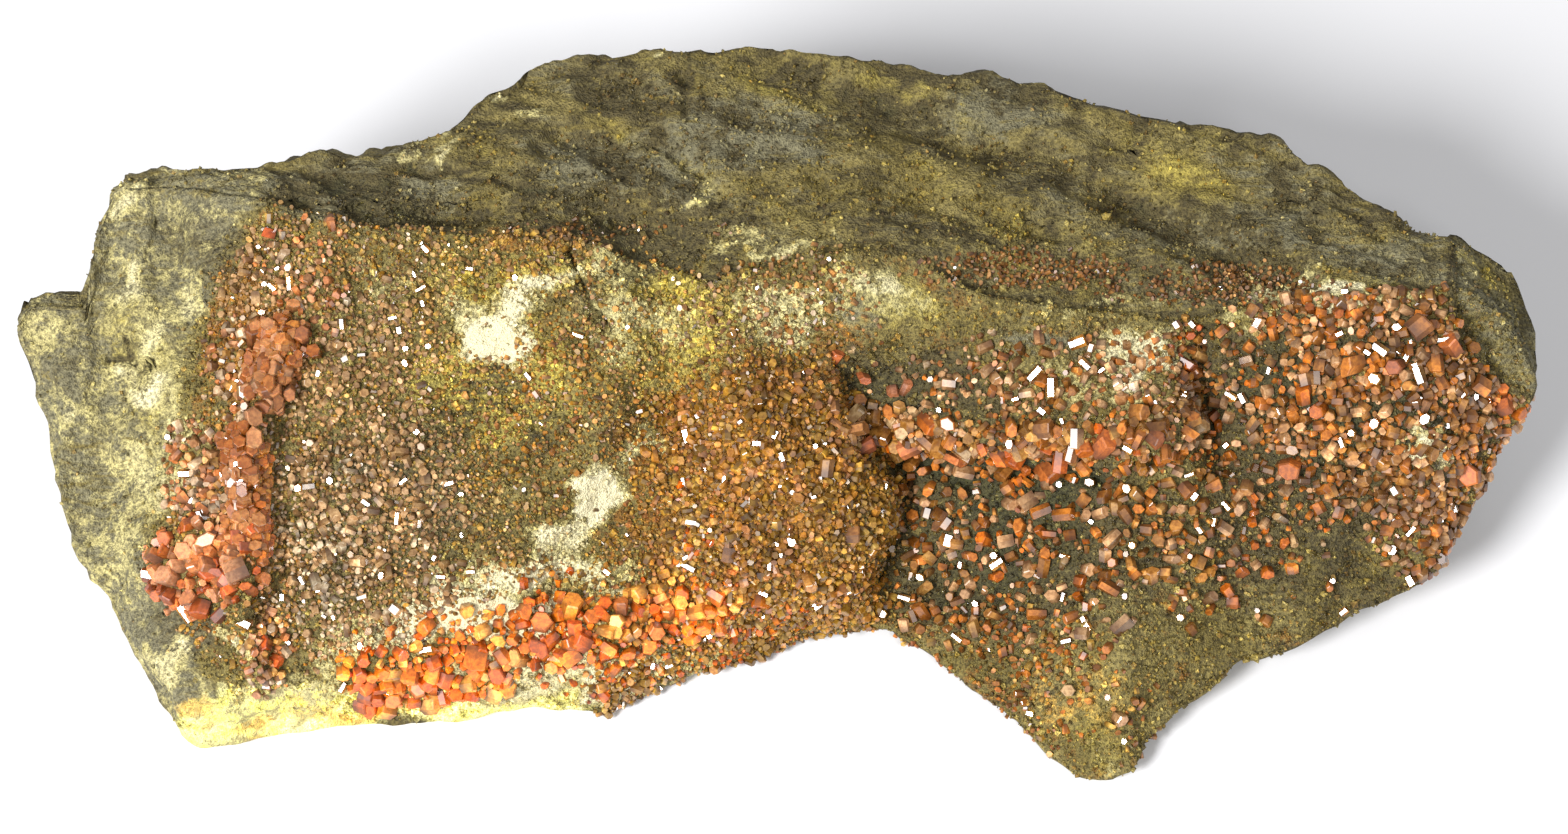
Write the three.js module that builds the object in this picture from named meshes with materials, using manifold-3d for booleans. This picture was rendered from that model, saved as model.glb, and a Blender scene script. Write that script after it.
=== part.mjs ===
// Vanadinite specimen: a broken block of olive-brown rock whose leaning front face
// carries crusts of short hexagonal vanadinite crystals. Millimetres, +Z up, the
// crystal face looking towards -Y and up, the block standing on its flat underside.
import * as THREE from "three";
import { mergeVertices } from "three/addons/utils/BufferGeometryUtils.js";
import Module from "manifold-3d";

// Driving dimensions.
const HALF_LENGTH = 75.9; // half of the block's length as drawn, along X
const FACE_TILT = (50 * Math.PI) / 180; // the crystal face's normal above the horizontal
const DEPTH_MID = 35.1; // from the front datum to the middle of the block, along Y
const EYE_DISTANCE = 370; // from the eye that the outlines are drawn for, to the face
const EYE_AIM = { u: 0.7, v: 36.3, rise: 1 }; // the point that this eye looks at
const GRID_STEP = 3.2; // spacing of the surface grid along the block
const LIP = 0.5; // least height of the rock's front lip above the table
const CRUST_SUNK = 1.0; // how far a crust's middle is let into the rock
const CRUST_GAP = 0.3; // clearance between a crust and the rock under it
const CRUST_RIM = 0.35; // thickness of a crust at its edge
const CRUST_CROWN = 0.2; // added thickness of a crust away from its edge

const COS_TILT = Math.cos(FACE_TILT);
const SIN_TILT = Math.sin(FACE_TILT);
const NORMAL = new THREE.Vector3(0, -COS_TILT, SIN_TILT);

// The block is drawn as it looks square-on to its crystal face: u runs along the
// block from its middle and v up the face. These lines list [u, v] pairs.
const FOOT = [
  [-75.9, 44.5], [-74.7, 41], [-72.7, 35], [-71.5, 28], [-70.2, 23.5], [-66.7, 18],
  [-62.7, 10], [-59.7, 4.7], [-57.7, 3.9], [-53.7, 3.8], [-47.7, 4.7], [-39.2, 5.4], [-25.7, 7],
  [-17.7, 6.8], [-7.7, 10.5], [0.3, 13.2], [7.3, 15.2], [11.3, 15], [17.3, 11],
  [22.3, 7.5], [26.3, 3.5], [30.3, 0.3], [33.3, -0.5], [35.3, 0.5], [36.8, 3.7],
  [40.3, 6.6], [46.3, 11.8], [52.3, 13.8], [58.3, 17], [64.3, 19.5], [66.3, 21],
  [67.8, 25], [70.3, 29.5], [72.3, 34], [75.3, 37.5], [75.9, 39],
];
const RIDGE = [
  [-75.9, 45.3], [-74.7, 47.2], [-69.4, 47.2], [-69, 48.8], [-68.2, 53.3], [-66.7, 57.3],
  [-65.2, 59.1], [-60, 59.2], [-50.7, 57.8], [-42.7, 55.5], [-33.7, 54.5], [-23.7, 54],
  [-17.7, 53.3], [-12.7, 51.5], [-7.7, 49.7], [-3.7, 50.4], [1.3, 51.8], [7.3, 52.9],
  [12.8, 52.5], [18.3, 49.2], [28.3, 47], [41.3, 45.5], [46.3, 47.5], [55.3, 47.7],
  [66.3, 49.5], [70, 48.5], [73.3, 46], [75.3, 41.5], [75.9, 40.2],
];
const BACK = [
  [-75.9, 46], [-74.7, 48.2], [-73.2, 48.7], [-69.4, 48], [-69, 49.8], [-68.2, 54.5],
  [-66.7, 59], [-65.2, 60.9], [-50.7, 61.2], [-39.7, 62.8], [-33.7, 64.2], [-29.7, 67.5],
  [-25.7, 70.2], [-21.7, 71.5], [-9.7, 73.3], [-1.7, 73], [6.3, 71.5], [10.3, 72],
  [17.3, 70.3], [22.3, 70.7], [30.8, 68.3], [46.3, 64.7], [49.3, 64.2], [52.3, 61.8],
  [62.3, 56.3], [68.3, 54], [73.3, 50.5], [74.2, 47.5], [75.3, 44.2], [75.9, 41.5],
];
// Heights above the table, as [u, z].
const FOOT_Z = [
  [-75.9, 25], [-74.7, 21.5], [-72.7, 17], [-70.2, 10], [-66.7, 6.5], [-59.7, 2.5], [-53, 1.2],
  [1, 1.2], [8, 3], [17, 3], [25, 1.2], [33, 1.2], [36.8, 2.5], [46.3, 4], [58.3, 6],
  [66.3, 8.5], [70.3, 13], [73.3, 18], [75.9, 21.5],
];
const RIDGE_Z = [
  [-75.9, 26.2], [-74.7, 27.5], [-69.4, 28], [-68.2, 31.5], [-65.2, 35], [-53.7, 37],
  [-25, 36], [-7.7, 33], [7.3, 34.5], [18.3, 32.5], [33.3, 30], [46.3, 31], [66.3, 31.5],
  [70.3, 31], [73.3, 29], [75.3, 25.5], [75.9, 23.5],
];
const BACK_Z = [
  [-75.9, 26.2], [-74.7, 27.2], [-69.4, 27.5], [-66.7, 33], [-60, 36], [-40, 36.5],
  [-25.7, 37], [-9.7, 38], [10, 37], [30, 35.5], [49.3, 34], [60, 32], [68.3, 31],
  [73.3, 28], [75.3, 25], [75.9, 23.5],
];
const UNDERSIDE_Z = [
  [-75.9, 23], [-74.7, 15], [-72.7, 8.5], [-70.2, 4], [-66, 1], [-62, 0], [60, 0],
  [66, 2], [70.3, 5], [73.3, 10], [75.9, 20.5],
];
// The broken rear, hidden from the front: flat fracture faces between a few
// corners, as [u, distance back from the front datum], at three heights.
const REAR_MIDDLE = [
  [-75.9, 42], [-73, 46], [-66, 53], [-50, 58.5], [-24, 68], [8, 70.5], [31, 64.5],
  [50, 59], [66, 50], [73.5, 42], [75.9, 35.5],
];
const REAR_LOW = [
  [-75.9, 41], [-73, 43.5], [-60, 55], [-38, 59.5], [-14, 68.5], [16, 68], [44, 57.5],
  [64, 47.5], [73.5, 40.5], [75.9, 35],
];
const REAR_FOOT = [
  [-75.9, 40], [-66, 47], [-45, 54], [-20, 63], [10, 65], [40, 55], [62, 43], [73.5, 38],
  [75.9, 34.5],
];
// Height of the steep broken edge below the crystal face, and how far the
// underside is set back from that edge.
const EDGE_HEIGHT = [
  [-75.9, 0.6], [-66.7, 1.5], [-59.7, 5], [-47.7, 8], [-25.7, 10], [-7.7, 7], [5, 5],
  [12, 1.6], [66, 2], [75.9, 0.6],
];
const UNDERCUT = [
  [-75.9, 1.7], [-74.7, 5.6], [-70.2, 5.2], [-66.7, 4.6], [-60, 2.5], [0, 2.5], [8, 3.2], [33, 3],
  [40, 4], [58, 6], [66, 7], [73.3, 7], [75.9, 1],
];
// Grid lines along the block that catch the notch and knob at its left end and the
// rounding of its right end. Even steps fill the rest.
const LEFT_LINES = [-75.9, -75.2, -73.9, -71.8, -69.7, -69, -68.1, -66.6, -64.8];
const RIGHT_LINES = [67.8, 69.8, 71.8, 73.6, 75, 75.9];

// Joins between the named corners of a cross-section, and the grid cells on each.
const SECTION_CELLS = [1, 2, 14, 6, 1, 1, 1, 2];
const FOOT_ROW = SECTION_CELLS[0];
const RIDGE_ROW = FOOT_ROW + SECTION_CELLS[1] + SECTION_CELLS[2];
const BACK_ROW = RIDGE_ROW + SECTION_CELLS[3];
const REAR_ROW = BACK_ROW + SECTION_CELLS[4] + SECTION_CELLS[5] + SECTION_CELLS[6];

// Small maths.
const clamp = (t, low, high) => Math.min(high, Math.max(low, t));
const smooth = (t) => clamp(t, 0, 1) ** 2 * (3 - 2 * clamp(t, 0, 1));
const mix = (a, b, t) => a + (b - a) * t;

// The value at u of a line given as [u, value] pairs.
function along(line, u) {
  const last = line.length - 1;
  if (u <= line[0][0]) return line[0][1];
  if (u >= line[last][0]) return line[last][1];
  const i = line.findIndex((pair) => pair[0] >= u);
  const [u0, a] = line[i - 1];
  const [u1, b] = line[i];
  return mix(a, b, (u - u0) / (u1 - u0));
}

// Distance from (u, v) to a polyline, with its side: positive on the right of the
// direction in which the points run.
function fromPolyline(points, u, v) {
  let best = { distance: Infinity, side: 1 };
  for (let i = 1; i < points.length; i++) {
    const [au, av] = points[i - 1];
    const [du, dv] = [points[i][0] - au, points[i][1] - av];
    const t = clamp(((u - au) * du + (v - av) * dv) / (du * du + dv * dv), 0, 1);
    const [pu, pv] = [u - au - t * du, v - av - t * dv];
    const distance = Math.hypot(pu, pv);
    if (distance < best.distance) {
      best = { distance, side: du * pv - dv * pu < 0 ? 1 : -1 };
    }
  }
  return best;
}

// Smooth value noise, from -1 to 1.
const hash = (i, j, k) => {
  const s = Math.sin(i * 127.1 + j * 311.7 + k * 74.7) * 43758.5453;
  return s - Math.floor(s);
};
function noise(x, y, z) {
  const [i, j, k] = [Math.floor(x), Math.floor(y), Math.floor(z)];
  const [fx, fy, fz] = [smooth(x - i), smooth(y - j), smooth(z - k)];
  const edge = (dj, dk) => mix(hash(i, j + dj, k + dk), hash(i + 1, j + dj, k + dk), fx);
  return 2 * mix(mix(edge(0, 0), edge(1, 0), fy), mix(edge(0, 1), edge(1, 1), fy), fz) - 1;
}

// A repeatable stream of numbers from 0 to 1.
function stream(seed) {
  let s = seed;
  return () => {
    s = (s + 0x6d2b79f5) | 0;
    let t = Math.imul(s ^ (s >>> 15), 1 | s);
    t = (t + Math.imul(t ^ (t >>> 7), 61 | t)) ^ t;
    return ((t ^ (t >>> 14)) >>> 0) / 4294967296;
  };
}

// Relief: forms raised from, or cut into, the face, in mm along its normal.
const bump = (u, v, [cu, cv, ru, rv, height]) =>
  height * smooth(1.3 * (1 - Math.hypot((u - cu) / ru, (v - cv) / rv)));
const strip = (u, v, { points, half, height }) =>
  height * smooth(1 - fromPolyline(points, u, v).distance / half);

// [u, v, half-width, half-height, rise]
const BUMPS = [
  [-58.2, 22, 8, 6.5, 1.6], // lump under the red cluster
  [-29, 37, 13, 10, -1.8], // shallow dish in the left face
  [0.5, 26, 13, 17, 5], // buttress in the middle
  [-3.7, 39, 8, 9, 1.6], // shoulder above the buttress
  [10.3, 47.5, 6.5, 6.5, 1.8], // bare nose below the ridge
  [60, 39, 17, 14, 2.2], // swelling at the right end
  [26, 59.5, 13, 3.5, 1.2], // back rib of the broken top
  [-17.7, 56.8, 7, 2.6, -1.6], // hollow behind the ridge
  [23.3, 51, 10, 2.6, -1.4], // second hollow behind the ridge
];
const STRIPS = [
  // raised vein in the left face
  { points: [[-48.7, 43.5], [-51.5, 38], [-52.7, 33], [-52.1, 22], [-53.2, 18]], half: 3, height: 3.2 },
  { points: [[-53, 17], [-51.5, 11.5]], half: 2.5, height: 1.6 },
  // valley between the left face and the buttress
  { points: [[-12.7, 51.5], [-9, 40], [-12.7, 34], [-15.7, 28], [-21.7, 21]], half: 5, height: -2 },
  // groove right of the ledge
  { points: [[41.8, 44], [42.8, 38], [43.8, 32.5]], half: 3.5, height: -2.6 },
  // crack between the knob and the block
  { points: [[-69.4, 49], [-67.7, 41], [-65.2, 34.8]], half: 2, height: -1.6 },
  // slanting groove across the broken top
  {
    points: [[-1.7, 71.8], [12.3, 66.8], [28.3, 60.8], [37.3, 56.5], [51.3, 49.5]],
    half: 3.6, height: -2.8,
  },
  // edge of a flake on the broken top
  { points: [[-23.7, 63], [-13.7, 62.3], [-8.7, 60.8], [-6.1, 58.4]], half: 1.8, height: -1.1 },
];
// Edges of steps in the face, each a line of [u, v] points.
const CLIFF = [[6, 40], [7.3, 35], [10.3, 31], [12.3, 29], [10.8, 24], [8.3, 18], [7, 12]];
const CLIFF_DROP = 5.5;
const CLIFF_FADE = 32; // how far right of the cliff the plate has risen again
const LEDGE = [[6.8, 35.5], [12.3, 34], [18.3, 33], [28.3, 34], [34.3, 32.5], [42, 33]];
const LEDGE_RISE = 3.4;
const LEDGE_FADE = 11;
const CHANNEL = [[-62.7, 56], [-62.2, 46]];

// The plate right of the buttress lies deeper, and rises again away from it.
function plateDrop(u, v) {
  const { distance, side } = fromPolyline(CLIFF, u, v);
  const beyond = side < 0 ? distance : -distance;
  const upper = (1 - 0.55 * smooth((v - 30) / 6)) * smooth((46 - v) / 6);
  return -CLIFF_DROP * upper * smooth((beyond + 0.8) / 2) * (1 - smooth(beyond / CLIFF_FADE));
}

// The rock above the ledge stands proud, and dies away upwards.
function ledgeRise(u, v) {
  const { distance, side } = fromPolyline(LEDGE, u, v);
  const above = side < 0 ? distance : -distance;
  const ends = smooth((u - 8) / 6) * smooth((43 - u) / 4);
  return LEDGE_RISE * ends * smooth((above + 1) / 1.8) * (1 - smooth(above / LEDGE_FADE));
}

// The face right of the channel at the upper left is a step lower.
function channelDrop(u, v) {
  const { distance, side } = fromPolyline(CHANNEL, u, v);
  const right = side < 0 ? distance : -distance;
  return -smooth((right + 0.6) / 1.4) * (1 - smooth(right / 8)) * smooth((v - 40) / 8);
}

function relief(u, v) {
  const bumps = BUMPS.reduce((sum, b) => sum + bump(u, v, b), 0);
  const strips = STRIPS.reduce((sum, s) => sum + strip(u, v, s), 0);
  return bumps + strips + plateDrop(u, v) + ledgeRise(u, v) + channelDrop(u, v);
}

// The real point at height z that looks to be at (u, v). The further back a point
// lies, the further it really is from where the eye looks.
function placed(u, v, z) {
  const high = v - EYE_AIM.v;
  const perMm = COS_TILT / (SIN_TILT * EYE_DISTANCE);
  const flat = 1 + EYE_AIM.rise / EYE_DISTANCE - z / (SIN_TILT * EYE_DISTANCE);
  const up = (EYE_AIM.v + high * flat) / (1 - high * perMm);
  const spread = flat + up * perMm;
  const x = EYE_AIM.u + (u - EYE_AIM.u) * spread;
  return new THREE.Vector3(x, (up - z * COS_TILT) / SIN_TILT - DEPTH_MID, z);
}

// Where a real point looks to be, as [u, v].
function seen(p) {
  const back = p.y + DEPTH_MID;
  const spread = 1 + (EYE_AIM.rise + back * COS_TILT - p.z * SIN_TILT) / EYE_DISTANCE;
  const up = back * SIN_TILT + p.z * COS_TILT;
  return [EYE_AIM.u + (p.x - EYE_AIM.u) / spread, EYE_AIM.v + (up - EYE_AIM.v) / spread];
}

// The corners of the cross-section at u, from the front of the underside over the
// top and down the rear.
function sectionCorners(u) {
  const foot = placed(u, along(FOOT, u), along(FOOT_Z, u));
  const ridge = placed(u, along(RIDGE, u), along(RIDGE_Z, u));
  const back = placed(u, along(BACK, u), along(BACK_Z, u));
  const edge = along(EDGE_HEIGHT, u);
  const base = along(UNDERSIDE_Z, u);
  const rear = (line, part) =>
    new THREE.Vector3(back.x, along(line, u) - DEPTH_MID, mix(base, back.z, part));
  return [
    new THREE.Vector3(foot.x, foot.y + along(UNDERCUT, u), base),
    foot,
    new THREE.Vector3(foot.x, foot.y + 0.25 * edge, foot.z + edge),
    ridge,
    back,
    rear(REAR_MIDDLE, 0.6),
    rear(REAR_LOW, 0.22),
    rear(REAR_FOOT, 0),
  ];
}

const ROCK_LINES = (() => {
  const from = LEFT_LINES.at(-1);
  const count = Math.round((RIGHT_LINES[0] - from) / GRID_STEP);
  const even = Array.from({ length: count - 1 }, (_, i) => mix(from, RIGHT_LINES[0], (i + 1) / count));
  return [...LEFT_LINES, ...even, ...RIGHT_LINES];
})();

// One surface point: its place on the plain section, moved by relief and roughness.
function surfacePoint(line, row, plain, base) {
  const p = plain.clone();
  const onUnderside = row === 0 || row >= REAR_ROW;
  if (onUnderside && base === 0) return p;
  const inward = clamp((HALF_LENGTH - Math.abs(line)) / 6, 0, 1);
  if (row > FOOT_ROW && row < BACK_ROW) {
    const [u, v] = seen(p);
    const rows = Math.min(row - FOOT_ROW, BACK_ROW - row);
    const weight = clamp(rows / 2, 0, 1) * inward;
    const rough = 0.8 * noise(u / 9, v / 9, 3) + 0.45 * noise(u / 4.2, v / 4.2, 9);
    p.addScaledVector(NORMAL, weight * (relief(u, v) + rough));
  } else if (row > BACK_ROW && row < REAR_ROW) {
    p.y += inward * noise(p.x / 7, 4, p.z / 6);
  }
  const jag = 0.45 * inward;
  p.y += jag * noise(p.x / 3.1, p.z / 3.1, 21);
  if (!onUnderside) p.z = Math.max(LIP, p.z + 0.5 * jag * noise(p.x / 3.1, p.y / 3.1, 31));
  return p;
}

// The closed surface grid: a ring of points at each line along the block.
function ringAt(line) {
  const corners = sectionCorners(line);
  const ring = [];
  corners.forEach((corner, i) => {
    const next = corners[(i + 1) % corners.length];
    for (let n = 0; n < SECTION_CELLS[i]; n++) {
      const plain = corner.clone().lerp(next, n / SECTION_CELLS[i]);
      ring.push(surfacePoint(line, ring.length, plain, corners[0].z));
    }
  });
  return ring;
}

const ROCK_RINGS = ROCK_LINES.map(ringAt);
const RING = ROCK_RINGS[0].length;

// Crusts of crystals. Each is a patch of surface cells inside ellipses given as
// [u, v, half-width, half-height], with the number and size of its crystals.
const CRUSTS = [
  {
    name: "crystals_left_vein", seed: 11, count: 15, radius: [0.9, 1.6], colour: 0x9c3f2a,
    ellipses: [[-50, 41, 3.5, 6], [-52.5, 32, 3.6, 8], [-56, 22, 7.5, 6], [-53, 14, 3.4, 4]],
  },
  {
    name: "crystals_front_edge", seed: 23, count: 22, radius: [0.8, 1.5], colour: 0xc4521c,
    ellipses: [[-38, 10, 6.5, 5], [-28, 12, 8, 6.5], [-17, 14, 8, 7], [-8, 15.5, 4, 4]],
  },
  {
    name: "crystals_buttress", seed: 37, count: 15, radius: [0.7, 1.2], colour: 0x8d5a26,
    ellipses: [[1, 28, 9, 11], [-2, 39, 6, 4]],
  },
  {
    name: "crystals_ledge", seed: 41, count: 12, radius: [0.8, 1.5], colour: 0xa44f22,
    ellipses: [[18, 37, 7, 3.6], [27, 38, 9, 4], [36, 39, 5, 5]],
  },
  {
    name: "crystals_plate", seed: 53, count: 11, radius: [0.8, 1.4], colour: 0x96552a,
    ellipses: [[21, 25, 7, 5.5], [33, 26, 8, 4.5], [43, 26, 5, 4]],
  },
  {
    name: "crystals_right_end", seed: 67, count: 20, radius: [0.9, 1.6], colour: 0x93522c,
    ellipses: [[53, 42, 7, 6.5], [64, 41, 8, 7.5], [62, 30, 7, 5.5], [53, 35, 5, 5]],
  },
];
const CRYSTAL_ROOT = 0.5; // depth of a crystal's root in its crust
const CRYSTAL_LEAN = 0.7; // most that a crystal leans, in radians
const CRYSTAL_STOUTNESS = [0.7, 1.5]; // a crystal's length over its radius

// Lone crystals on the bare lower plate, as [u, v, radius], grown from the rock.
const LONE_CRYSTALS = [
  [24, 14.5, 1.1], [31, 12, 1], [38.5, 16.5, 1.2], [34, 7.5, 0.9], [48, 19, 1],
  [53.5, 21, 1.2], [19.5, 13, 1], [41, 12.5, 0.9], [29, 16, 1.2],
];

const cellKey = (i, j) => i * RING + j;
const cellCorners = (i, j) => [[i, j], [i + 1, j], [i, j + 1], [i + 1, j + 1]];
function centreOf(corners) {
  const sum = new THREE.Vector3();
  corners.forEach(([i, j]) => sum.add(ROCK_RINGS[i][j]));
  return sum.divideScalar(corners.length);
}

// The two triangles of a surface cell, parted along its diagonal.
function halvesOf(i, j) {
  const [a, c, b, d] = cellCorners(i, j);
  return [
    { cell: [i, j], diagonal: [b, c], lower: true, corners: [a, c, b] },
    { cell: [i, j], diagonal: [b, c], lower: false, corners: [b, c, d] },
  ];
}

// Edges of triangles, each with its direction.
const edgesOf = ({ corners: [a, b, c] }) => [[a, b], [b, c], [c, a]];
const edgeKey = ([[i, j], [m, n]]) => cellKey(i, j) * ROCK_LINES.length * RING + cellKey(m, n);
const patchEdges = (patch) => new Set(patch.flatMap((half) => edgesOf(half).map(edgeKey)));
const rimOf = (half, edges) => edgesOf(half).filter(([a, b]) => !edges.has(edgeKey([b, a])));

// The surface triangles of each crust, kept one cell clear of the crusts before it.
function claimPatches() {
  const taken = new Set();
  const around = [-1, 0, 1];
  const free = ({ cell: [i, j] }) =>
    around.every((a) => around.every((b) => !taken.has(cellKey(i + a, j + b))));
  const rows = Array.from({ length: RIDGE_ROW - FOOT_ROW }, (_, n) => n + FOOT_ROW);
  const columns = ROCK_LINES.slice(1).map((_, i) => i);
  const halves = columns.flatMap((i) => rows.flatMap((j) => halvesOf(i, j)));
  for (const crust of CRUSTS) {
    const inside = ({ corners }) => {
      const [u, v] = seen(centreOf(corners));
      return crust.ellipses.some(([cu, cv, ru, rv]) => Math.hypot((u - cu) / ru, (v - cv) / rv) < 1);
    };
    const patch = halves.filter((half) => inside(half) && free(half));
    const edges = patchEdges(patch);
    crust.patch = patch.filter((half) => rimOf(half, edges).length < 2);
    crust.patch.forEach(({ cell: [i, j] }) => taken.add(cellKey(i, j)));
  }
}

// Corner points of a crust that have its triangles all round them.
function innerCorners(crust) {
  const count = new Map();
  const corners = crust.patch.flatMap((half) => half.corners);
  corners.forEach(([i, j]) => count.set(cellKey(i, j), (count.get(cellKey(i, j)) ?? 0) + 1));
  return [...count].filter(([, triangles]) => triangles === 6).map(([key]) => key);
}

// A mesh's shape from a list of points and one of triangles.
function geometryOf(points, triangles) {
  const flat = points.flatMap((p) => [p.x, p.y, p.z]);
  return new THREE.BufferGeometry()
    .setAttribute("position", new THREE.Float32BufferAttribute(flat, 3))
    .setIndex(triangles);
}

// The rock: the rings joined, let in under the crusts, with a fan at either end.
function rockGeometry(sunk) {
  const points = ROCK_RINGS.flatMap((ring, i) =>
    ring.map((p, j) => (sunk.has(cellKey(i, j)) ? p.clone().addScaledVector(NORMAL, -CRUST_SUNK) : p)),
  );
  const triangles = [];
  for (let i = 0; i < ROCK_LINES.length - 1; i++) {
    for (let j = 0; j < RING; j++) {
      const [a, b] = [cellKey(i, j), cellKey(i, (j + 1) % RING)];
      const [c, d] = [cellKey(i + 1, j), cellKey(i + 1, (j + 1) % RING)];
      triangles.push(a, c, b, b, c, d);
    }
  }
  const cap = (start, turned) => {
    const ring = points.slice(start, start + RING);
    const centre = ring.reduce((sum, p) => sum.addScaledVector(p, 1 / RING), new THREE.Vector3());
    points.push(centre);
    for (let j = 0; j < RING; j++) {
      const [a, b] = [start + j, start + ((j + 1) % RING)];
      triangles.push(points.length - 1, turned ? b : a, turned ? a : b);
    }
  };
  cap(0, false);
  cap((ROCK_LINES.length - 1) * RING, true);
  return geometryOf(points, triangles);
}

// A crust's base: a thin sheet that follows the rock, thicker where it is let in.
function crustBaseGeometry(crust, sunk) {
  const points = [];
  const triangles = [];
  const index = new Map();
  const corner = ([i, j], top) => {
    const key = cellKey(i, j) * 2 + (top ? 1 : 0);
    if (!index.has(key)) {
      const inner = sunk.has(cellKey(i, j));
      const upper = CRUST_GAP + CRUST_RIM + (inner ? CRUST_CROWN : 0);
      const lower = CRUST_GAP - (inner ? CRUST_SUNK : 0);
      index.set(key, points.length);
      points.push(ROCK_RINGS[i][j].clone().addScaledVector(NORMAL, top ? upper : lower));
    }
    return index.get(key);
  };
  const edges = patchEdges(crust.patch);
  for (const half of crust.patch) {
    triangles.push(...half.corners.map((place) => corner(place, true)));
    triangles.push(...half.corners.map((place) => corner(place, false)).reverse());
    for (const [a, b] of rimOf(half, edges)) {
      triangles.push(corner(a, true), corner(a, false), corner(b, true));
      triangles.push(corner(b, true), corner(a, false), corner(b, false));
    }
  }
  return geometryOf(points, triangles);
}

// A flat-ended six-sided crystal that stands out of the point by its length.
function crystalGeometry(point, axis, radius, length, root, turn) {
  const outline = new THREE.Shape();
  for (let side = 0; side < 6; side++) {
    const angle = turn + (side * Math.PI) / 3;
    outline[side === 0 ? "moveTo" : "lineTo"](radius * Math.cos(angle), radius * Math.sin(angle));
  }
  const prism = new THREE.ExtrudeGeometry(outline, { depth: length + root, bevelEnabled: false });
  const lean = new THREE.Quaternion().setFromUnitVectors(new THREE.Vector3(0, 0, 1), axis);
  return prism.translate(0, 0, -root).applyQuaternion(lean).translate(point.x, point.y, point.z);
}

const wasm = await Module();
wasm.setup();

function solidOf(geometry) {
  const plain = new THREE.BufferGeometry().setAttribute("position", geometry.getAttribute("position"));
  if (geometry.getIndex()) plain.setIndex(geometry.getIndex());
  const merged = mergeVertices(plain, 1e-4);
  return new wasm.Manifold(
    new wasm.Mesh({
      numProp: 3,
      vertProperties: merged.attributes.position.array,
      triVerts: new Uint32Array(merged.index.array),
    }),
  );
}

function meshOf(name, solid, colour, roughness) {
  const { vertProperties, triVerts } = solid.getMesh();
  const geometry = new THREE.BufferGeometry()
    .setAttribute("position", new THREE.BufferAttribute(new Float32Array(vertProperties), 3))
    .setIndex(new THREE.BufferAttribute(new Uint32Array(triVerts), 1));
  geometry.computeVertexNormals();
  const look = { color: colour, roughness, metalness: 0, flatShading: true };
  const mesh = new THREE.Mesh(geometry, new THREE.MeshStandardMaterial(look));
  mesh.name = name;
  return mesh;
}

// The outward direction of the rock's surface over a cell.
function cellNormal(i, j) {
  const across = ROCK_RINGS[i + 1][j + 1].clone().sub(ROCK_RINGS[i][j]);
  const up = ROCK_RINGS[i][j + 1].clone().sub(ROCK_RINGS[i + 1][j]);
  return across.cross(up).normalize();
}

// A direction near the given one, leaning at random.
function leaning(direction, random) {
  const side = new THREE.Vector3(random() - 0.5, random() - 0.5, random() - 0.5).normalize();
  const lean = CRYSTAL_LEAN * random();
  return direction.clone().multiplyScalar(Math.cos(lean)).addScaledVector(side, Math.sin(lean)).normalize();
}

// A crust and its crystals, which stand on the cells that are let in.
function crustSolid(crust, sunk, rock) {
  const random = stream(crust.seed);
  const letIn = ({ diagonal }) => diagonal.some(([i, j]) => sunk.has(cellKey(i, j)));
  const deep = crust.patch.filter((half) => half.lower && letIn(half));
  const order = deep.map(({ cell }) => [random(), cell]).sort((a, b) => a[0] - b[0]);
  let solid = solidOf(crustBaseGeometry(crust, sunk));
  for (const [, [i, j]] of order.slice(0, crust.count)) {
    const radius = mix(...crust.radius, random() ** 1.5);
    const point = centreOf(cellCorners(i, j)).addScaledVector(NORMAL, CRUST_GAP + CRUST_RIM);
    const axis = leaning(cellNormal(i, j), random);
    const length = radius * mix(...CRYSTAL_STOUTNESS, random());
    const turn = random() * Math.PI;
    solid = solid.add(solidOf(crystalGeometry(point, axis, radius, length, CRYSTAL_ROOT, turn)));
  }
  const clearance = NORMAL.clone().multiplyScalar(0.7 * CRUST_GAP);
  return solid.subtract(rock.translate(clearance.x, clearance.y, clearance.z));
}

// The rock with its lone crystals fused to it.
function rockWithLoneCrystals(rock) {
  const random = stream(5);
  const rows = Array.from({ length: RIDGE_ROW - FOOT_ROW }, (_, n) => n + FOOT_ROW);
  return LONE_CRYSTALS.reduce((solid, [u, v, radius]) => {
    const i = ROCK_LINES.findIndex((line) => line > u) - 1;
    const j = rows.find((row) => seen(ROCK_RINGS[i][row + 1])[1] > v);
    const axis = leaning(cellNormal(i, j), random);
    const length = radius * mix(...CRYSTAL_STOUTNESS, 0.7);
    const root = centreOf(cellCorners(i, j));
    return solid.add(solidOf(crystalGeometry(root, axis, radius, length, radius, random())));
  }, rock);
}

claimPatches();
const sunkCorners = new Set(CRUSTS.flatMap(innerCorners));
const plainRock = solidOf(rockGeometry(sunkCorners));

const specimen = new THREE.Group();
specimen.add(meshOf("matrix", rockWithLoneCrystals(plainRock), 0x6b6038, 0.9));
for (const crust of CRUSTS) {
  specimen.add(meshOf(crust.name, crustSolid(crust, sunkCorners, plainRock), crust.colour, 0.35));
}

export default specimen;
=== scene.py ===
import math

import bpy
import numpy as np
from mathutils import Matrix, Vector


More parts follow.
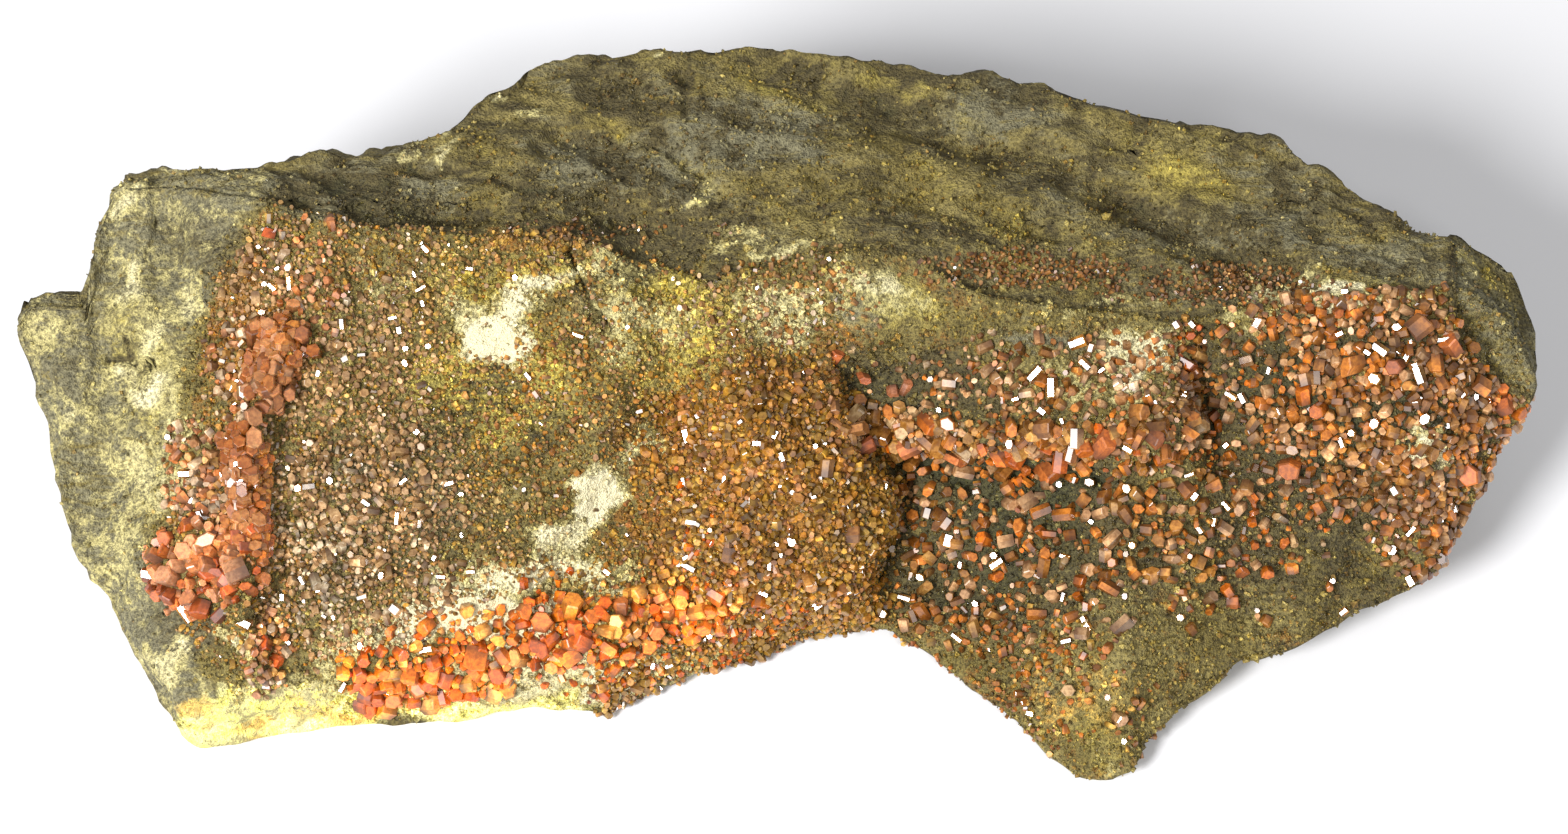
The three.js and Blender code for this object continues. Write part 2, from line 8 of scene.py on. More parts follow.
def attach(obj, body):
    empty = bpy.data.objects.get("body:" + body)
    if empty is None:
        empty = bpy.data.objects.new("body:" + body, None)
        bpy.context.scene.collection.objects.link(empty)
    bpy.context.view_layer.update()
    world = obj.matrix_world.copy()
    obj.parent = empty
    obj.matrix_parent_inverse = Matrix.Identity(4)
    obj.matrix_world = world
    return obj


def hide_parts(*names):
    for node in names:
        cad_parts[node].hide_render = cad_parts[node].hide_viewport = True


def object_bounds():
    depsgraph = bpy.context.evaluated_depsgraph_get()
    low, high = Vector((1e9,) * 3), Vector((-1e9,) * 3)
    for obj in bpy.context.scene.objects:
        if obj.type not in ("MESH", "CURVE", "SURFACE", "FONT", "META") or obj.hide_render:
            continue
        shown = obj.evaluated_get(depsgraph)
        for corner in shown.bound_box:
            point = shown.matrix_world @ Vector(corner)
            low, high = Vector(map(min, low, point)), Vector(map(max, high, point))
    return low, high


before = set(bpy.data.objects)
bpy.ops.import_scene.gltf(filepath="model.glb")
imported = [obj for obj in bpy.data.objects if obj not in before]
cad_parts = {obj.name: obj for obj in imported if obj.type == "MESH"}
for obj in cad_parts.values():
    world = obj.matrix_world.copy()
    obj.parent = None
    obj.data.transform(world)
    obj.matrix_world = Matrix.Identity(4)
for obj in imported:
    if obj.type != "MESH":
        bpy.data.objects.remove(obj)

CAD_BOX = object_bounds()
MM = 0.001

# Driving dimensions, in millimetres, as in the solids.
HALF_LENGTH = 75.9
FACE_TILT = math.radians(50)
DEPTH_MID = 35.1
EYE_DISTANCE = 370
AIM_U, AIM_V, AIM_RISE = 0.7, 36.3, 1
LIP = 0.5
COS_TILT, SIN_TILT = math.cos(FACE_TILT), math.sin(FACE_TILT)
NORMAL = np.array([0, -COS_TILT, SIN_TILT])

# Outlines as seen square-on to the crystal face: u along the block, v up the face.
FOOT = [
    (-75.9, 44.5), (-74.7, 41), (-72.7, 35), (-71.5, 28), (-70.2, 23.5), (-66.7, 18),
    (-62.7, 10), (-59.7, 4.7), (-57.7, 3.9), (-53.7, 3.8), (-47.7, 4.7), (-39.2, 5.4),
    (-25.7, 7), (-17.7, 6.8), (-7.7, 10.5), (0.3, 13.2), (7.3, 15.2), (11.3, 15),
    (17.3, 11), (22.3, 7.5), (26.3, 3.5), (30.3, 0.3), (33.3, -0.5), (35.3, 0.5),
    (36.8, 3.7), (40.3, 6.6), (46.3, 11.8), (52.3, 13.8), (58.3, 17), (64.3, 19.5),
    (66.3, 21), (67.8, 25), (70.3, 29.5), (72.3, 34), (75.3, 37.5), (75.9, 39),
]
RIDGE = [
    (-75.9, 45.3), (-74.7, 47.2), (-69.4, 47.2), (-69, 48.8), (-68.2, 53.3), (-66.7, 57.3),
    (-65.2, 59.1), (-60, 59.2), (-50.7, 57.8), (-42.7, 55.5), (-33.7, 54.5), (-23.7, 54),
    (-17.7, 53.3), (-12.7, 51.5), (-7.7, 49.7), (-3.7, 50.4), (1.3, 51.8), (7.3, 52.9),
    (12.8, 52.5), (18.3, 49.2), (28.3, 47), (41.3, 45.5), (46.3, 47.5), (55.3, 47.7),
    (66.3, 49.5), (70, 48.5), (73.3, 46), (75.3, 41.5), (75.9, 40.2),
]
BACK = [
    (-75.9, 46), (-74.7, 48.2), (-73.2, 48.7), (-69.4, 48), (-69, 49.8), (-68.2, 54.5),
    (-66.7, 59), (-65.2, 60.9), (-50.7, 61.2), (-39.7, 62.8), (-33.7, 64.2), (-29.7, 67.5),
    (-25.7, 70.2), (-21.7, 71.5), (-9.7, 73.3), (-1.7, 73), (6.3, 71.5), (10.3, 72),
    (17.3, 70.3), (22.3, 70.7), (30.8, 68.3), (46.3, 64.7), (49.3, 64.2), (52.3, 61.8),
    (62.3, 56.3), (68.3, 54), (73.3, 50.5), (74.2, 47.5), (75.3, 44.2), (75.9, 41.5),
]
# Heights above the table.
FOOT_Z = [
    (-75.9, 25), (-74.7, 21.5), (-72.7, 17), (-70.2, 10), (-66.7, 6.5), (-59.7, 2.5),
    (-53, 1.2), (1, 1.2), (8, 3), (17, 3), (25, 1.2), (33, 1.2), (36.8, 2.5), (46.3, 4),
    (58.3, 6), (66.3, 8.5), (70.3, 13), (73.3, 18), (75.9, 21.5),
]
RIDGE_Z = [
    (-75.9, 26.2), (-74.7, 27.5), (-69.4, 28), (-68.2, 31.5), (-65.2, 35), (-53.7, 37),
    (-25, 36), (-7.7, 33), (7.3, 34.5), (18.3, 32.5), (33.3, 30), (46.3, 31), (66.3, 31.5),
    (70.3, 31), (73.3, 29), (75.3, 25.5), (75.9, 23.5),
]
BACK_Z = [
    (-75.9, 26.2), (-74.7, 27.2), (-69.4, 27.5), (-66.7, 33), (-60, 36), (-40, 36.5),
    (-25.7, 37), (-9.7, 38), (10, 37), (30, 35.5), (49.3, 34), (60, 32), (68.3, 31),
    (73.3, 28), (75.3, 25), (75.9, 23.5),
]
UNDERSIDE_Z = [
    (-75.9, 23), (-74.7, 15), (-72.7, 8.5), (-70.2, 4), (-66, 1), (-62, 0), (60, 0),
    (66, 2), (70.3, 5), (73.3, 10), (75.9, 20.5),
]
# The rear at three heights, as distances back from the front datum.
REAR_MIDDLE = [
    (-75.9, 42), (-73, 46), (-66, 53), (-50, 58.5), (-24, 68), (8, 70.5), (31, 64.5),
    (50, 59), (66, 50), (73.5, 42), (75.9, 35.5),
]
REAR_LOW = [
    (-75.9, 41), (-73, 43.5), (-60, 55), (-38, 59.5), (-14, 68.5), (16, 68), (44, 57.5),
    (64, 47.5), (73.5, 40.5), (75.9, 35),
]
REAR_FOOT = [
    (-75.9, 40), (-66, 47), (-45, 54), (-20, 63), (10, 65), (40, 55), (62, 43), (73.5, 38),
    (75.9, 34.5),
]
EDGE_HEIGHT = [
    (-75.9, 0.6), (-66.7, 1.5), (-59.7, 5), (-47.7, 8), (-25.7, 10), (-7.7, 7), (5, 5),
    (12, 0.8), (60, 0.8), (68, 2), (75.9, 0.6),
]
UNDERCUT = [
    (-75.9, 1.7), (-74.7, 5.6), (-70.2, 5.2), (-66.7, 4.6), (-60, 2.5), (0, 2.5), (8, 3.2),
    (33, 3), (40, 4), (58, 6), (66, 7), (73.3, 7), (75.9, 1),
]
# Joins between the corners of a cross-section: their cells in the solids, which set
# how the relief fades at the edges, and their cells here. Cross-sections are a step
# apart, and closer along the knob at the left end.
SOLID_CELLS = [1, 2, 14, 6, 1, 1, 1, 2]
FINE_CELLS = [3, 18, 116, 54, 18, 14, 9, 5]
LINE_STEP = 0.4
KNOB_END, KNOB_STEP = -66, 0.3
FOOT_ROW = 1
RIDGE_ROW = 17
BACK_ROW = 23
REAR_ROW = 26
CREST = 3


# Small maths
def smooth(t):
    t = np.clip(t, 0, 1)
    return t * t * (3 - 2 * t)


def along(line, u):
    places, values = zip(*line)
    return np.interp(u, places, values)


def from_polyline(points, u, v):
    """Distance to a polyline, and its side: 1 on the right of the way its points run."""
    best, side = np.full(np.shape(u), np.inf), np.ones(np.shape(u))
    for (au, av), (bu, bv) in zip(points, points[1:]):
        du, dv = bu - au, bv - av
        t = np.clip(((u - au) * du + (v - av) * dv) / (du * du + dv * dv), 0, 1)
        pu, pv = u - au - t * du, v - av - t * dv
        distance = np.hypot(pu, pv)
        closer = distance < best
        best = np.where(closer, distance, best)
        side = np.where(closer, np.where(du * pv - dv * pu < 0, 1, -1), side)
    return best, side


def unit(vectors):
    return vectors / np.maximum(np.linalg.norm(vectors, axis=-1, keepdims=True), 1e-12)


# Noise
def wave_hash(i, j, k):
    s = np.sin(i * 127.1 + j * 311.7 + k * 74.7) * 43758.5453
    return s - np.floor(s)


def bit_hash(i, j, k, seed=0):
    """Repeatable numbers from 0 to 1 at whole-number places."""
    mask = 0xFFFFFFFF
    h = (i.astype(np.int64) * 73856093) ^ (j.astype(np.int64) * 19349663)
    h = (h ^ (k.astype(np.int64) * 83492791) ^ (seed * 668265263)) & mask
    for shift, factor in ((15, 0x2C1B3C6D), (12, 0x297A2D39)):
        h = ((h ^ (h >> shift)) * factor) & mask
    return (h ^ (h >> 15)) / mask


def noise(x, y, z, lattice=bit_hash):
    """Smooth value noise, from -1 to 1."""
    i, j, k = np.floor(x), np.floor(y), np.floor(z)
    fx, fy, fz = smooth(x - i), smooth(y - j), smooth(z - k)
    total = 0
    for a, wa in ((0, 1 - fx), (1, fx)):
        for b, wb in ((0, 1 - fy), (1, fy)):
            for c, wc in ((0, 1 - fz), (1, fz)):
                total = total + wa * wb * wc * lattice(i + a, j + b, k + c)
    return 2 * total - 1


def layered(p, octaves=3, seed=0):
    """Several octaves of noise at points p, from about -1 to 1."""
    total, gain, most = 0, 1, 0
    for octave in range(octaves):
        q = p * 2.03**octave + 17.3 * (seed + octave)
        total = total + gain * noise(q[..., 0], q[..., 1], q[..., 2])
        most += gain
        gain *= 0.5
    return total / most * 1.6


def facets(p, seed=0):
    """Noise made of flat faces that meet at creases, like broken rock, from -1 to 1."""
    cell = np.floor(p).astype(np.int64)
    f = p - cell
    order = np.argsort(-f, axis=-1)
    value = bit_hash(cell[..., 0], cell[..., 1], cell[..., 2], seed)
    total = value.copy()
    for step in range(3):
        axis = order[..., step : step + 1]
        np.put_along_axis(cell, axis, np.take_along_axis(cell, axis, -1) + 1, -1)
        further = bit_hash(cell[..., 0], cell[..., 1], cell[..., 2], seed)
        total += np.take_along_axis(f, axis, -1)[..., 0] * (further - value)
        value = further
    return 2 * total - 1


# Relief of the face, as in the solids: [u, v, half-width, half-height, rise]
BUMPS = [
    (-58.2, 22, 8, 6.5, 1.6), (-29, 37, 13, 10, -1.8), (0.5, 26, 13, 17, 5),
    (-3.7, 39, 8, 9, 1.6), (10.3, 47.5, 6.5, 6.5, 1.8), (60, 39, 17, 14, 2.2),
    (26, 59.5, 13, 3.5, 1.2), (-17.7, 56.8, 7, 2.6, -1.6), (23.3, 51, 10, 2.6, -1.4),
]
VEIN = [(-48.7, 43.5), (-51.5, 38), (-52.7, 33), (-52.1, 22), (-53.2, 18)]
VEIN_FOOT = [(-53, 17), (-51.5, 11.5)]
VALLEY = [(-12.7, 51.5), (-9, 40), (-12.7, 34), (-15.7, 28), (-21.7, 21)]
LEDGE_GROOVE = [(41.8, 44), (42.8, 38), (43.8, 32.5)]
KNOB_CRACK = [(-69.4, 49), (-68.3, 45)]
TOP_GROOVE = [(-1.7, 71.8), (12.3, 66.8), (28.3, 60.8), (37.3, 56.5), (51.3, 49.5)]
FLAKE_EDGE = [(-23.7, 63), (-13.7, 62.3), (-8.7, 60.8), (-6.1, 58.4)]
STRIPS = [
    (VEIN, 3, 3.2), (VEIN_FOOT, 2.5, 1.6), (VALLEY, 5, -2), (LEDGE_GROOVE, 3.5, -2.6),
    (KNOB_CRACK, 1.2, -0.6), (TOP_GROOVE, 3.6, -2.8), (FLAKE_EDGE, 1.8, -1.1),
]
CLIFF = [(6, 40), (7.3, 35), (10.3, 31), (12.3, 29), (10.8, 24), (8.3, 18), (7, 12)]
CLIFF_DROP, CLIFF_FADE = 5.5, 32
LEDGE = [(6.8, 35.5), (12.3, 34), (18.3, 33), (28.3, 34), (34.3, 32.5), (42, 33)]
LEDGE_RISE, LEDGE_FADE = 3.4, 11
CHANNEL = [(-62.7, 56), (-62.2, 46)]


# Narrow cracks finer than the solids carry: the line, its half-width and its depth
CRACKS = [
    (KNOB_CRACK, 0.5, 0.7), ([(-66.6, 42.6), (-64.4, 41.7), (-61.6, 42.2)], 0.6, 1.2),
    ([(-65.2, 44), (-64.4, 41.7), (-64.8, 39.5)], 0.5, 1.1), ([(-62.4, 55.5), (-62.6, 47)], 0.4, 0.5),
    ([(-20.7, 53.5), (-19.5, 49.5), (-17.5, 45.5)], 0.8, 1.4),
    ([(12.8, 30), (11.9, 25), (10, 19.5)], 0.8, 1.7),
    ([(8, 33), (14, 31.6), (20, 30.4), (28, 31.2), (33, 30)], 1.3, 1.1),
    ([(-9.3, 70), (-9.7, 67)], 1.1, 0.9), ([(43.2, 45), (42.6, 38), (44, 32)], 0.9, 1),
    ([(-37, 61.5), (-30, 59.8), (-22, 58.6)], 0.7, 0.7),
]
# Sharp steps down on the right of a line: the line, its drop and how far the drop reaches
STEPS = [
    (FLAKE_EDGE[::-1], 1.1, 5), ([(2, 60), (14, 58.5), (27, 55.5)], 0.9, 4),
    ([(-50, 58), (-38, 57), (-28, 57.5)], 0.8, 3), ([(30, 63.5), (44, 59.5), (56, 55.5)], 0.9, 4),
    ([(-30, 62), (-20, 60.5), (-8, 61)], 0.7, 3), ([(4, 66), (16, 65), (26, 61)], 0.8, 3),
]
FACET_EDGE = [(76.5, 37.5), (72.3, 40.5), (70.3, 42.5), (68.7, 45), (67.9, 48), (67.5, 54.5)]


def oval(u, v, cu, cv, ru, rv):
    """1 at the middle of an ellipse, falling smoothly to 0 at its edge."""
    return smooth(1.3 * (1 - np.hypot((u - cu) / ru, (v - cv) / rv)))


def strip(u, v, points, half):
    return smooth(1 - from_polyline(points, u, v)[0] / half)


def plate_drop(u, v):
    distance, side = from_polyline(CLIFF, u, v)
    beyond = -side * distance
    upper = (1 - 0.55 * smooth((v - 30) / 6)) * smooth((46 - v) / 6)
    upper = upper * (1 - 0.4 * smooth((20 - v) / 6)) * smooth((v - along(FOOT, u) + 2) / 12)
    return -CLIFF_DROP * upper * smooth((beyond + 0.8) / 2) * (1 - smooth(beyond / CLIFF_FADE))


def ledge_rise(u, v):
    distance, side = from_polyline(LEDGE, u, v)
    above = -side * distance
    ends = smooth((u - 8) / 6) * smooth((43 - u) / 4)
    return LEDGE_RISE * ends * smooth((above + 1) / 1.8) * (1 - smooth(above / LEDGE_FADE))


def channel_drop(u, v):
    distance, side = from_polyline(CHANNEL, u, v)
    right = -side * distance
    return -smooth((right + 0.3) / 0.5) * (1 - smooth(right / 8)) * smooth((v - 42) / 6)


def relief(u, v):
    bumps = sum(rise * oval(u, v, *place) for *place, rise in BUMPS)
    strips = sum(height * strip(u, v, points, half) for points, half, height in STRIPS)
    return bumps + strips + plate_drop(u, v) + ledge_rise(u, v) + channel_drop(u, v)


def wandering(u, v):
    """Places shifted a little, so that lines drawn there aren't straight."""
    p = np.stack([u, v, 0 * u], -1) / 3
    return u + 0.9 * layered(p, 3, 25), v + 0.9 * layered(p, 3, 26)


def crack_lines(u, v, wider=1):
    return sum(strip(u, v, line, wider * half) for line, half, _ in CRACKS)


def fine_cuts(u, v):
    """Cracks and sharp steps, as depths along the view."""
    u, v = wandering(u, v)
    total = -sum(depth * strip(u, v, line, half) for line, half, depth in CRACKS)
    for line, drop, reach in STEPS:
        distance, side = from_polyline(line, u, v)
        right = side * distance
        first, last = min(p[0] for p in line), max(p[0] for p in line)
        ends = smooth((u - first) / 2) * smooth((last - u) / 2)
        total = total - drop * ends * smooth((right + 0.25) / 0.5) * (1 - smooth(right / reach))
    return total - 1.1 * oval(u, v, -15, 51.3, 4.5, 3)


def facet_depth(u, v):
    """The plane at the right end, that leans away beyond a sharp edge."""
    distance, side = from_polyline(FACET_EDGE, u, v)
    right = side * distance
    return -0.9 * smooth((right + 0.25) / 0.5) - 0.13 * np.maximum(right, 0)


# The rock's surface
def placed(u, v, z):
    """The real point at height z that looks to be at (u, v)."""
    high = v - AIM_V
    per_mm = COS_TILT / (SIN_TILT * EYE_DISTANCE)
    flat = 1 + AIM_RISE / EYE_DISTANCE - z / (SIN_TILT * EYE_DISTANCE)
    up = (AIM_V + high * flat) / (1 - high * per_mm)
    x = AIM_U + (u - AIM_U) * (flat + up * per_mm)
    return np.stack([x, (up - z * COS_TILT) / SIN_TILT - DEPTH_MID, z], -1)


def seen(p):
    """Where real points look to be, as u and v."""
    back = p[..., 1] + DEPTH_MID
    spread = 1 + (AIM_RISE + back * COS_TILT - p[..., 2] * SIN_TILT) / EYE_DISTANCE
    up = back * SIN_TILT + p[..., 2] * COS_TILT
    return AIM_U + (p[..., 0] - AIM_U) / spread, AIM_V + (up - AIM_V) / spread


def section_corners(u):
    foot = placed(u, along(FOOT, u), along(FOOT_Z, u))
    ridge = placed(u, along(RIDGE, u), along(RIDGE_Z, u))
    back = placed(u, along(BACK, u), along(BACK_Z, u))
    edge, base = along(EDGE_HEIGHT, u), along(UNDERSIDE_Z, u)

    def rear(line, part):
        height = base + (back[:, 2] - base) * part
        return np.stack([back[:, 0], along(line, u) - DEPTH_MID, height], -1)

    front = np.stack([foot[:, 0], foot[:, 1] + along(UNDERCUT, u), base], -1)
    brow = foot + np.stack([0 * edge, 0.25 * edge, edge], -1)
    lower = [rear(REAR_MIDDLE, 0.6), rear(REAR_LOW, 0.22), rear(REAR_FOOT, 0)]
    return [front, foot, brow, ridge, back, *lower]


def evened(corners, reach):
    """A line of corners averaged over some neighbours, so that its sudden steps are spread."""
    padded = np.pad(corners, ((reach, reach), (0, 0)), "reflect", reflect_type="odd")
    weights = np.ones(2 * reach + 1) / (2 * reach + 1)
    return np.stack([np.convolve(padded[:, axis], weights, "valid") for axis in range(3)], -1)


def rock_surface():
    """The rock as a grid of rings, with each point's row in the solids' own rows."""
    knob = np.arange(-HALF_LENGTH, KNOB_END, KNOB_STEP)
    body = np.arange(knob[-1] + LINE_STEP, HALF_LENGTH, LINE_STEP)
    lines = np.concatenate([knob, body, [HALF_LENGTH]])
    corners = section_corners(lines)
    rings, rows, row = [], [], 0
    for n, (solid, fine) in enumerate(zip(SOLID_CELLS, FINE_CELLS)):
        t = (np.arange(fine) / fine)[None, :, None]
        a, b = corners[n][:, None], corners[(n + 1) % len(corners)][:, None]
        if n == CREST - 1:
            b = b + (evened(corners[CREST], 9)[:, None] - b) * (1 - t**1.5)
        rings.append(a + (b - a) * t)
        rows.append(row + solid * t[0, :, 0])
        row += solid
    return lines[:, None], np.concatenate(rings, 1), np.concatenate(rows)[None]


def grid_normals(p):
    """Outward directions of a closed grid of rings."""
    across = np.gradient(p, axis=0)
    around = np.roll(p, -1, 1) - np.roll(p, 1, 1)
    return unit(np.cross(across, around))


def end_fade(width, margin=0, low=0):
    """1 over most of the block, falling to low at its two ends."""
    return np.clip((HALF_LENGTH - margin - np.abs(LINES)) / width, low, 1)


LINES, surface, ROWS = rock_surface()
inward = end_fade(6)
level_base = along(UNDERSIDE_Z, LINES) == 0
on_underside = (ROWS <= 0.999) | (ROWS >= REAR_ROW - 0.001)
lifted = ~(on_underside & level_base)
U, V = seen(surface)

# Broad relief and roughness, as in the solids.
fade = np.clip(np.minimum(ROWS - FOOT_ROW, BACK_ROW - ROWS) / 2, 0, 1) * inward
rough = 0.8 * noise(U / 9, V / 9, 3 + 0 * U, wave_hash)
rough = rough + 0.45 * noise(U / 4.2, V / 4.2, 9 + 0 * U, wave_hash)
surface = surface + NORMAL * (fade * (relief(U, V) + rough))[..., None]
rear_lumps = inward * noise(surface[..., 0] / 7, 4 + 0 * U, surface[..., 2] / 6, wave_hash)
surface[..., 1] += np.where((ROWS > BACK_ROW) & (ROWS < REAR_ROW), rear_lumps, 0)
jag = 0.45 * inward * lifted
surface[..., 1] += jag * noise(surface[..., 0] / 3.1, surface[..., 2] / 3.1, 21 + 0 * U, wave_hash)
lift = 0.5 * jag * noise(surface[..., 0] / 3.1, surface[..., 1] / 3.1, 31 + 0 * U, wave_hash)
surface[..., 2] = np.where(on_underside, surface[..., 2], np.maximum(LIP, surface[..., 2] + lift))

# Where the surface has which character.
BARE_EDGE = [
    (3, -47), (8, -55), (16, -61.5), (22, -63.5), (28, -62), (35, -60), (44, -58.5), (50, -57),
    (54, -54.5), (60, -50),
]
U, V = seen(surface)
edge_u = along(BARE_EDGE, V)
on_face = smooth((ROWS - FOOT_ROW) / 0.6) * smooth((RIDGE_ROW + 0.4 - ROWS) / 0.8)
on_top = smooth((ROWS - RIDGE_ROW + 0.2) / 0.8) * smooth((BACK_ROW + 0.3 - ROWS) / 0.6)
on_rear = np.clip(1 - on_face - on_top, 0, 1)
slope_side = smooth((edge_u + 1.5 - U) / 3)
bare_slope = on_face * slope_side
druse = on_face * (1 - slope_side)
cuts = (fine_cuts(U, V) + facet_depth(U, V)) * (on_face + on_top) * end_fade(1.2)
surface = surface + NORMAL * cuts[..., None]


def terraces(height, edge):
    """Steps one unit high, joined by short slopes."""
    floor = np.floor(height)
    return floor + smooth((height - floor - 1 + edge) / edge)


def turned(p, angle):
    """Points turned about Z, so that their first coordinate runs along the grain."""
    c, s = math.cos(angle), math.sin(angle)
    return np.stack([c * p[..., 0] - s * p[..., 1], s * p[..., 0] + c * p[..., 1], p[..., 2]], -1)


# Angle of the grain of the top, along which it flakes, and height of the rear's beds
GRAIN_ANGLE = 0.42
BED_HEIGHT = 4.2


def face_relief(p, u, v, grain):
    """Chips and lumps of the crystal face, and of the bare slope at its left."""
    chips = 0.5 * facets(p / 4.6, 3) + 0.24 * facets(p / 1.9, 4)
    lumps = 0.32 * layered(p / 2.6, 3, 5)
    rubble = 0.35 + 0.9 * oval(u, v, -4, 47, 18, 9) + 0.6 * oval(u, v, -26, 50, 16, 6)
    slope = 1.2 * chips + 1.2 * grain + lumps
    return druse * (grain + lumps + rubble * chips) + bare_slope * slope


def top_relief(p):
    """Flakes and short ridges that run along the grain of the top."""
    grained = turned(p, GRAIN_ANGLE)
    steps = 1.9 * layered(grained / [19, 6, 12], 2, 9) + 0.3 * facets(grained / [3, 1.4, 2], 13)
    flakes = 0.42 * (terraces(steps, 0.12) - 0.75 * steps) + 0.28 * facets(grained / [7, 2.2, 4], 14)
    top = flakes + 0.16 * layered(grained / [4, 0.9, 2], 3, 10) + 0.16 * facets(p / 3.1, 12)
    return top + 0.26 * facets(grained / [3.2, 0.9, 1.4], 17) + 0.14 * facets(p / 1.5, 19)


def rear_relief(p, grain):
    """Broken faces and steps of bedding at the rear, and a quieter skin below the face."""
    broken = 1.9 * facets(p / 11, 6) + facets(p / 4.6, 7) + 0.45 * facets(p / 2.2, 8)
    broken = broken + 0.5 * grain - 0.6
    bedding = (p[..., 2] + 2.4 * layered(p / [15, 15, 7], 3, 40)) / BED_HEIGHT
    below_edge = smooth((ROWS - BACK_ROW) / 0.4) * inward
    broken = broken + 1.3 * below_edge * (terraces(bedding, 0.35) - bedding + 0.35)
    under = 0.4 * facets(p / 4.2, 7) + 0.25 * facets(p / 1.9, 8)
    return np.where(ROWS > RIDGE_ROW, broken, under)


def edge_relief(p):
    """Chips along the back edge."""
    near = smooth(1.3 - np.abs(ROWS - BACK_ROW) / 1.6) * end_fade(6, 4)
    return near * (0.6 * facets(p / 6, 18) + 0.4 * facets(p / 2.6, 15) + 0.25 * facets(p / 1.3, 16))


def fine_relief(p, u, v):
    """Roughness finer than the solids carry: grains, chips, flakes and pits."""
    grain = 0.13 * layered(p / 1.1, 3, 1) + 0.07 * facets(p / 0.9, 2)
    crease = smooth(1 - np.abs(ROWS - RIDGE_ROW - 1.1) / 1.1) * oval(u, v, -26, 55, 30, 9)
    front = face_relief(p, u, v, grain) + on_top * (top_relief(p) + 0.9 * grain) - 1.1 * crease
    return front + on_rear * rear_relief(p, grain) + edge_relief(p)


amount = fine_relief(surface, U, V) * lifted * end_fade(3, -1, 0.1)
amount = amount * np.where(on_underside, 0.4, 1)
surface = surface + grid_normals(surface) * amount[..., None]
surface[..., 2] = np.where(on_underside, surface[..., 2], np.maximum(surface[..., 2], 0.3))
LOWEST, HIGHEST = np.array(CAD_BOX) / MM
surface = np.clip(surface, LOWEST, HIGHEST)
surface[..., 1] *= np.where(surface[..., 1] > 0, HIGHEST[1] / surface[..., 1].max(), 1)
NORMALS = grid_normals(surface)
U, V = seen(surface)


# Objects from arrays
def add_attribute(mesh, key, values):
    """An attribute with a value or colour for each point or for each face."""
    domain = "POINT" if len(values) == len(mesh.vertices) else "FACE"
    kind, field = ("FLOAT_COLOR", "color") if values.ndim == 2 else ("FLOAT", "value")
    layer = mesh.attributes.new(key, kind, domain)
    layer.data.foreach_set(field, values.astype(np.float32).ravel())


def mesh_object(name, points, faces, attributes=(), material=None, flat=True):
    """A mesh piece from points in millimetres and arrays of faces of equal size."""
    mesh = bpy.data.meshes.new(name)
    loops = np.concatenate([f.ravel() for f in faces])
    sizes = np.concatenate([np.full(len(f), f.shape[1]) for f in faces])
    mesh.vertices.add(len(points))
    mesh.vertices.foreach_set("co", (points * MM).astype(np.float32).ravel())
    mesh.loops.add(len(loops))
    mesh.loops.foreach_set("vertex_index", loops.astype(np.int32))
    mesh.polygons.add(len(sizes))
    starts = np.concatenate([[0], np.cumsum(sizes)[:-1]])
    mesh.polygons.foreach_set("loop_start", starts.astype(np.int32))
    mesh.polygons.foreach_set("use_smooth", np.full(len(sizes), not flat))
    for key, values in attributes:
        add_attribute(mesh, key, values)
    mesh.update(calc_edges=True)
    mesh.materials.append(material)
    obj = bpy.data.objects.new(name, mesh)
    bpy.context.scene.collection.objects.link(obj)
    return obj


# How much light the crystal face gets, so that colours can be given as they look.
FACE_LIGHT = 1.75


def tone(red, green, blue):
    """The surface colour that looks like these 0 to 255 screen values in this light."""
    c = np.array([red, green, blue]) / 255
    linear = np.where(c <= 0.04045, c / 12.92, ((c + 0.055) / 1.055) ** 2.4)
    return linear / FACE_LIGHT


def rgba(colour):
    return (*[float(c) for c in colour], 1)


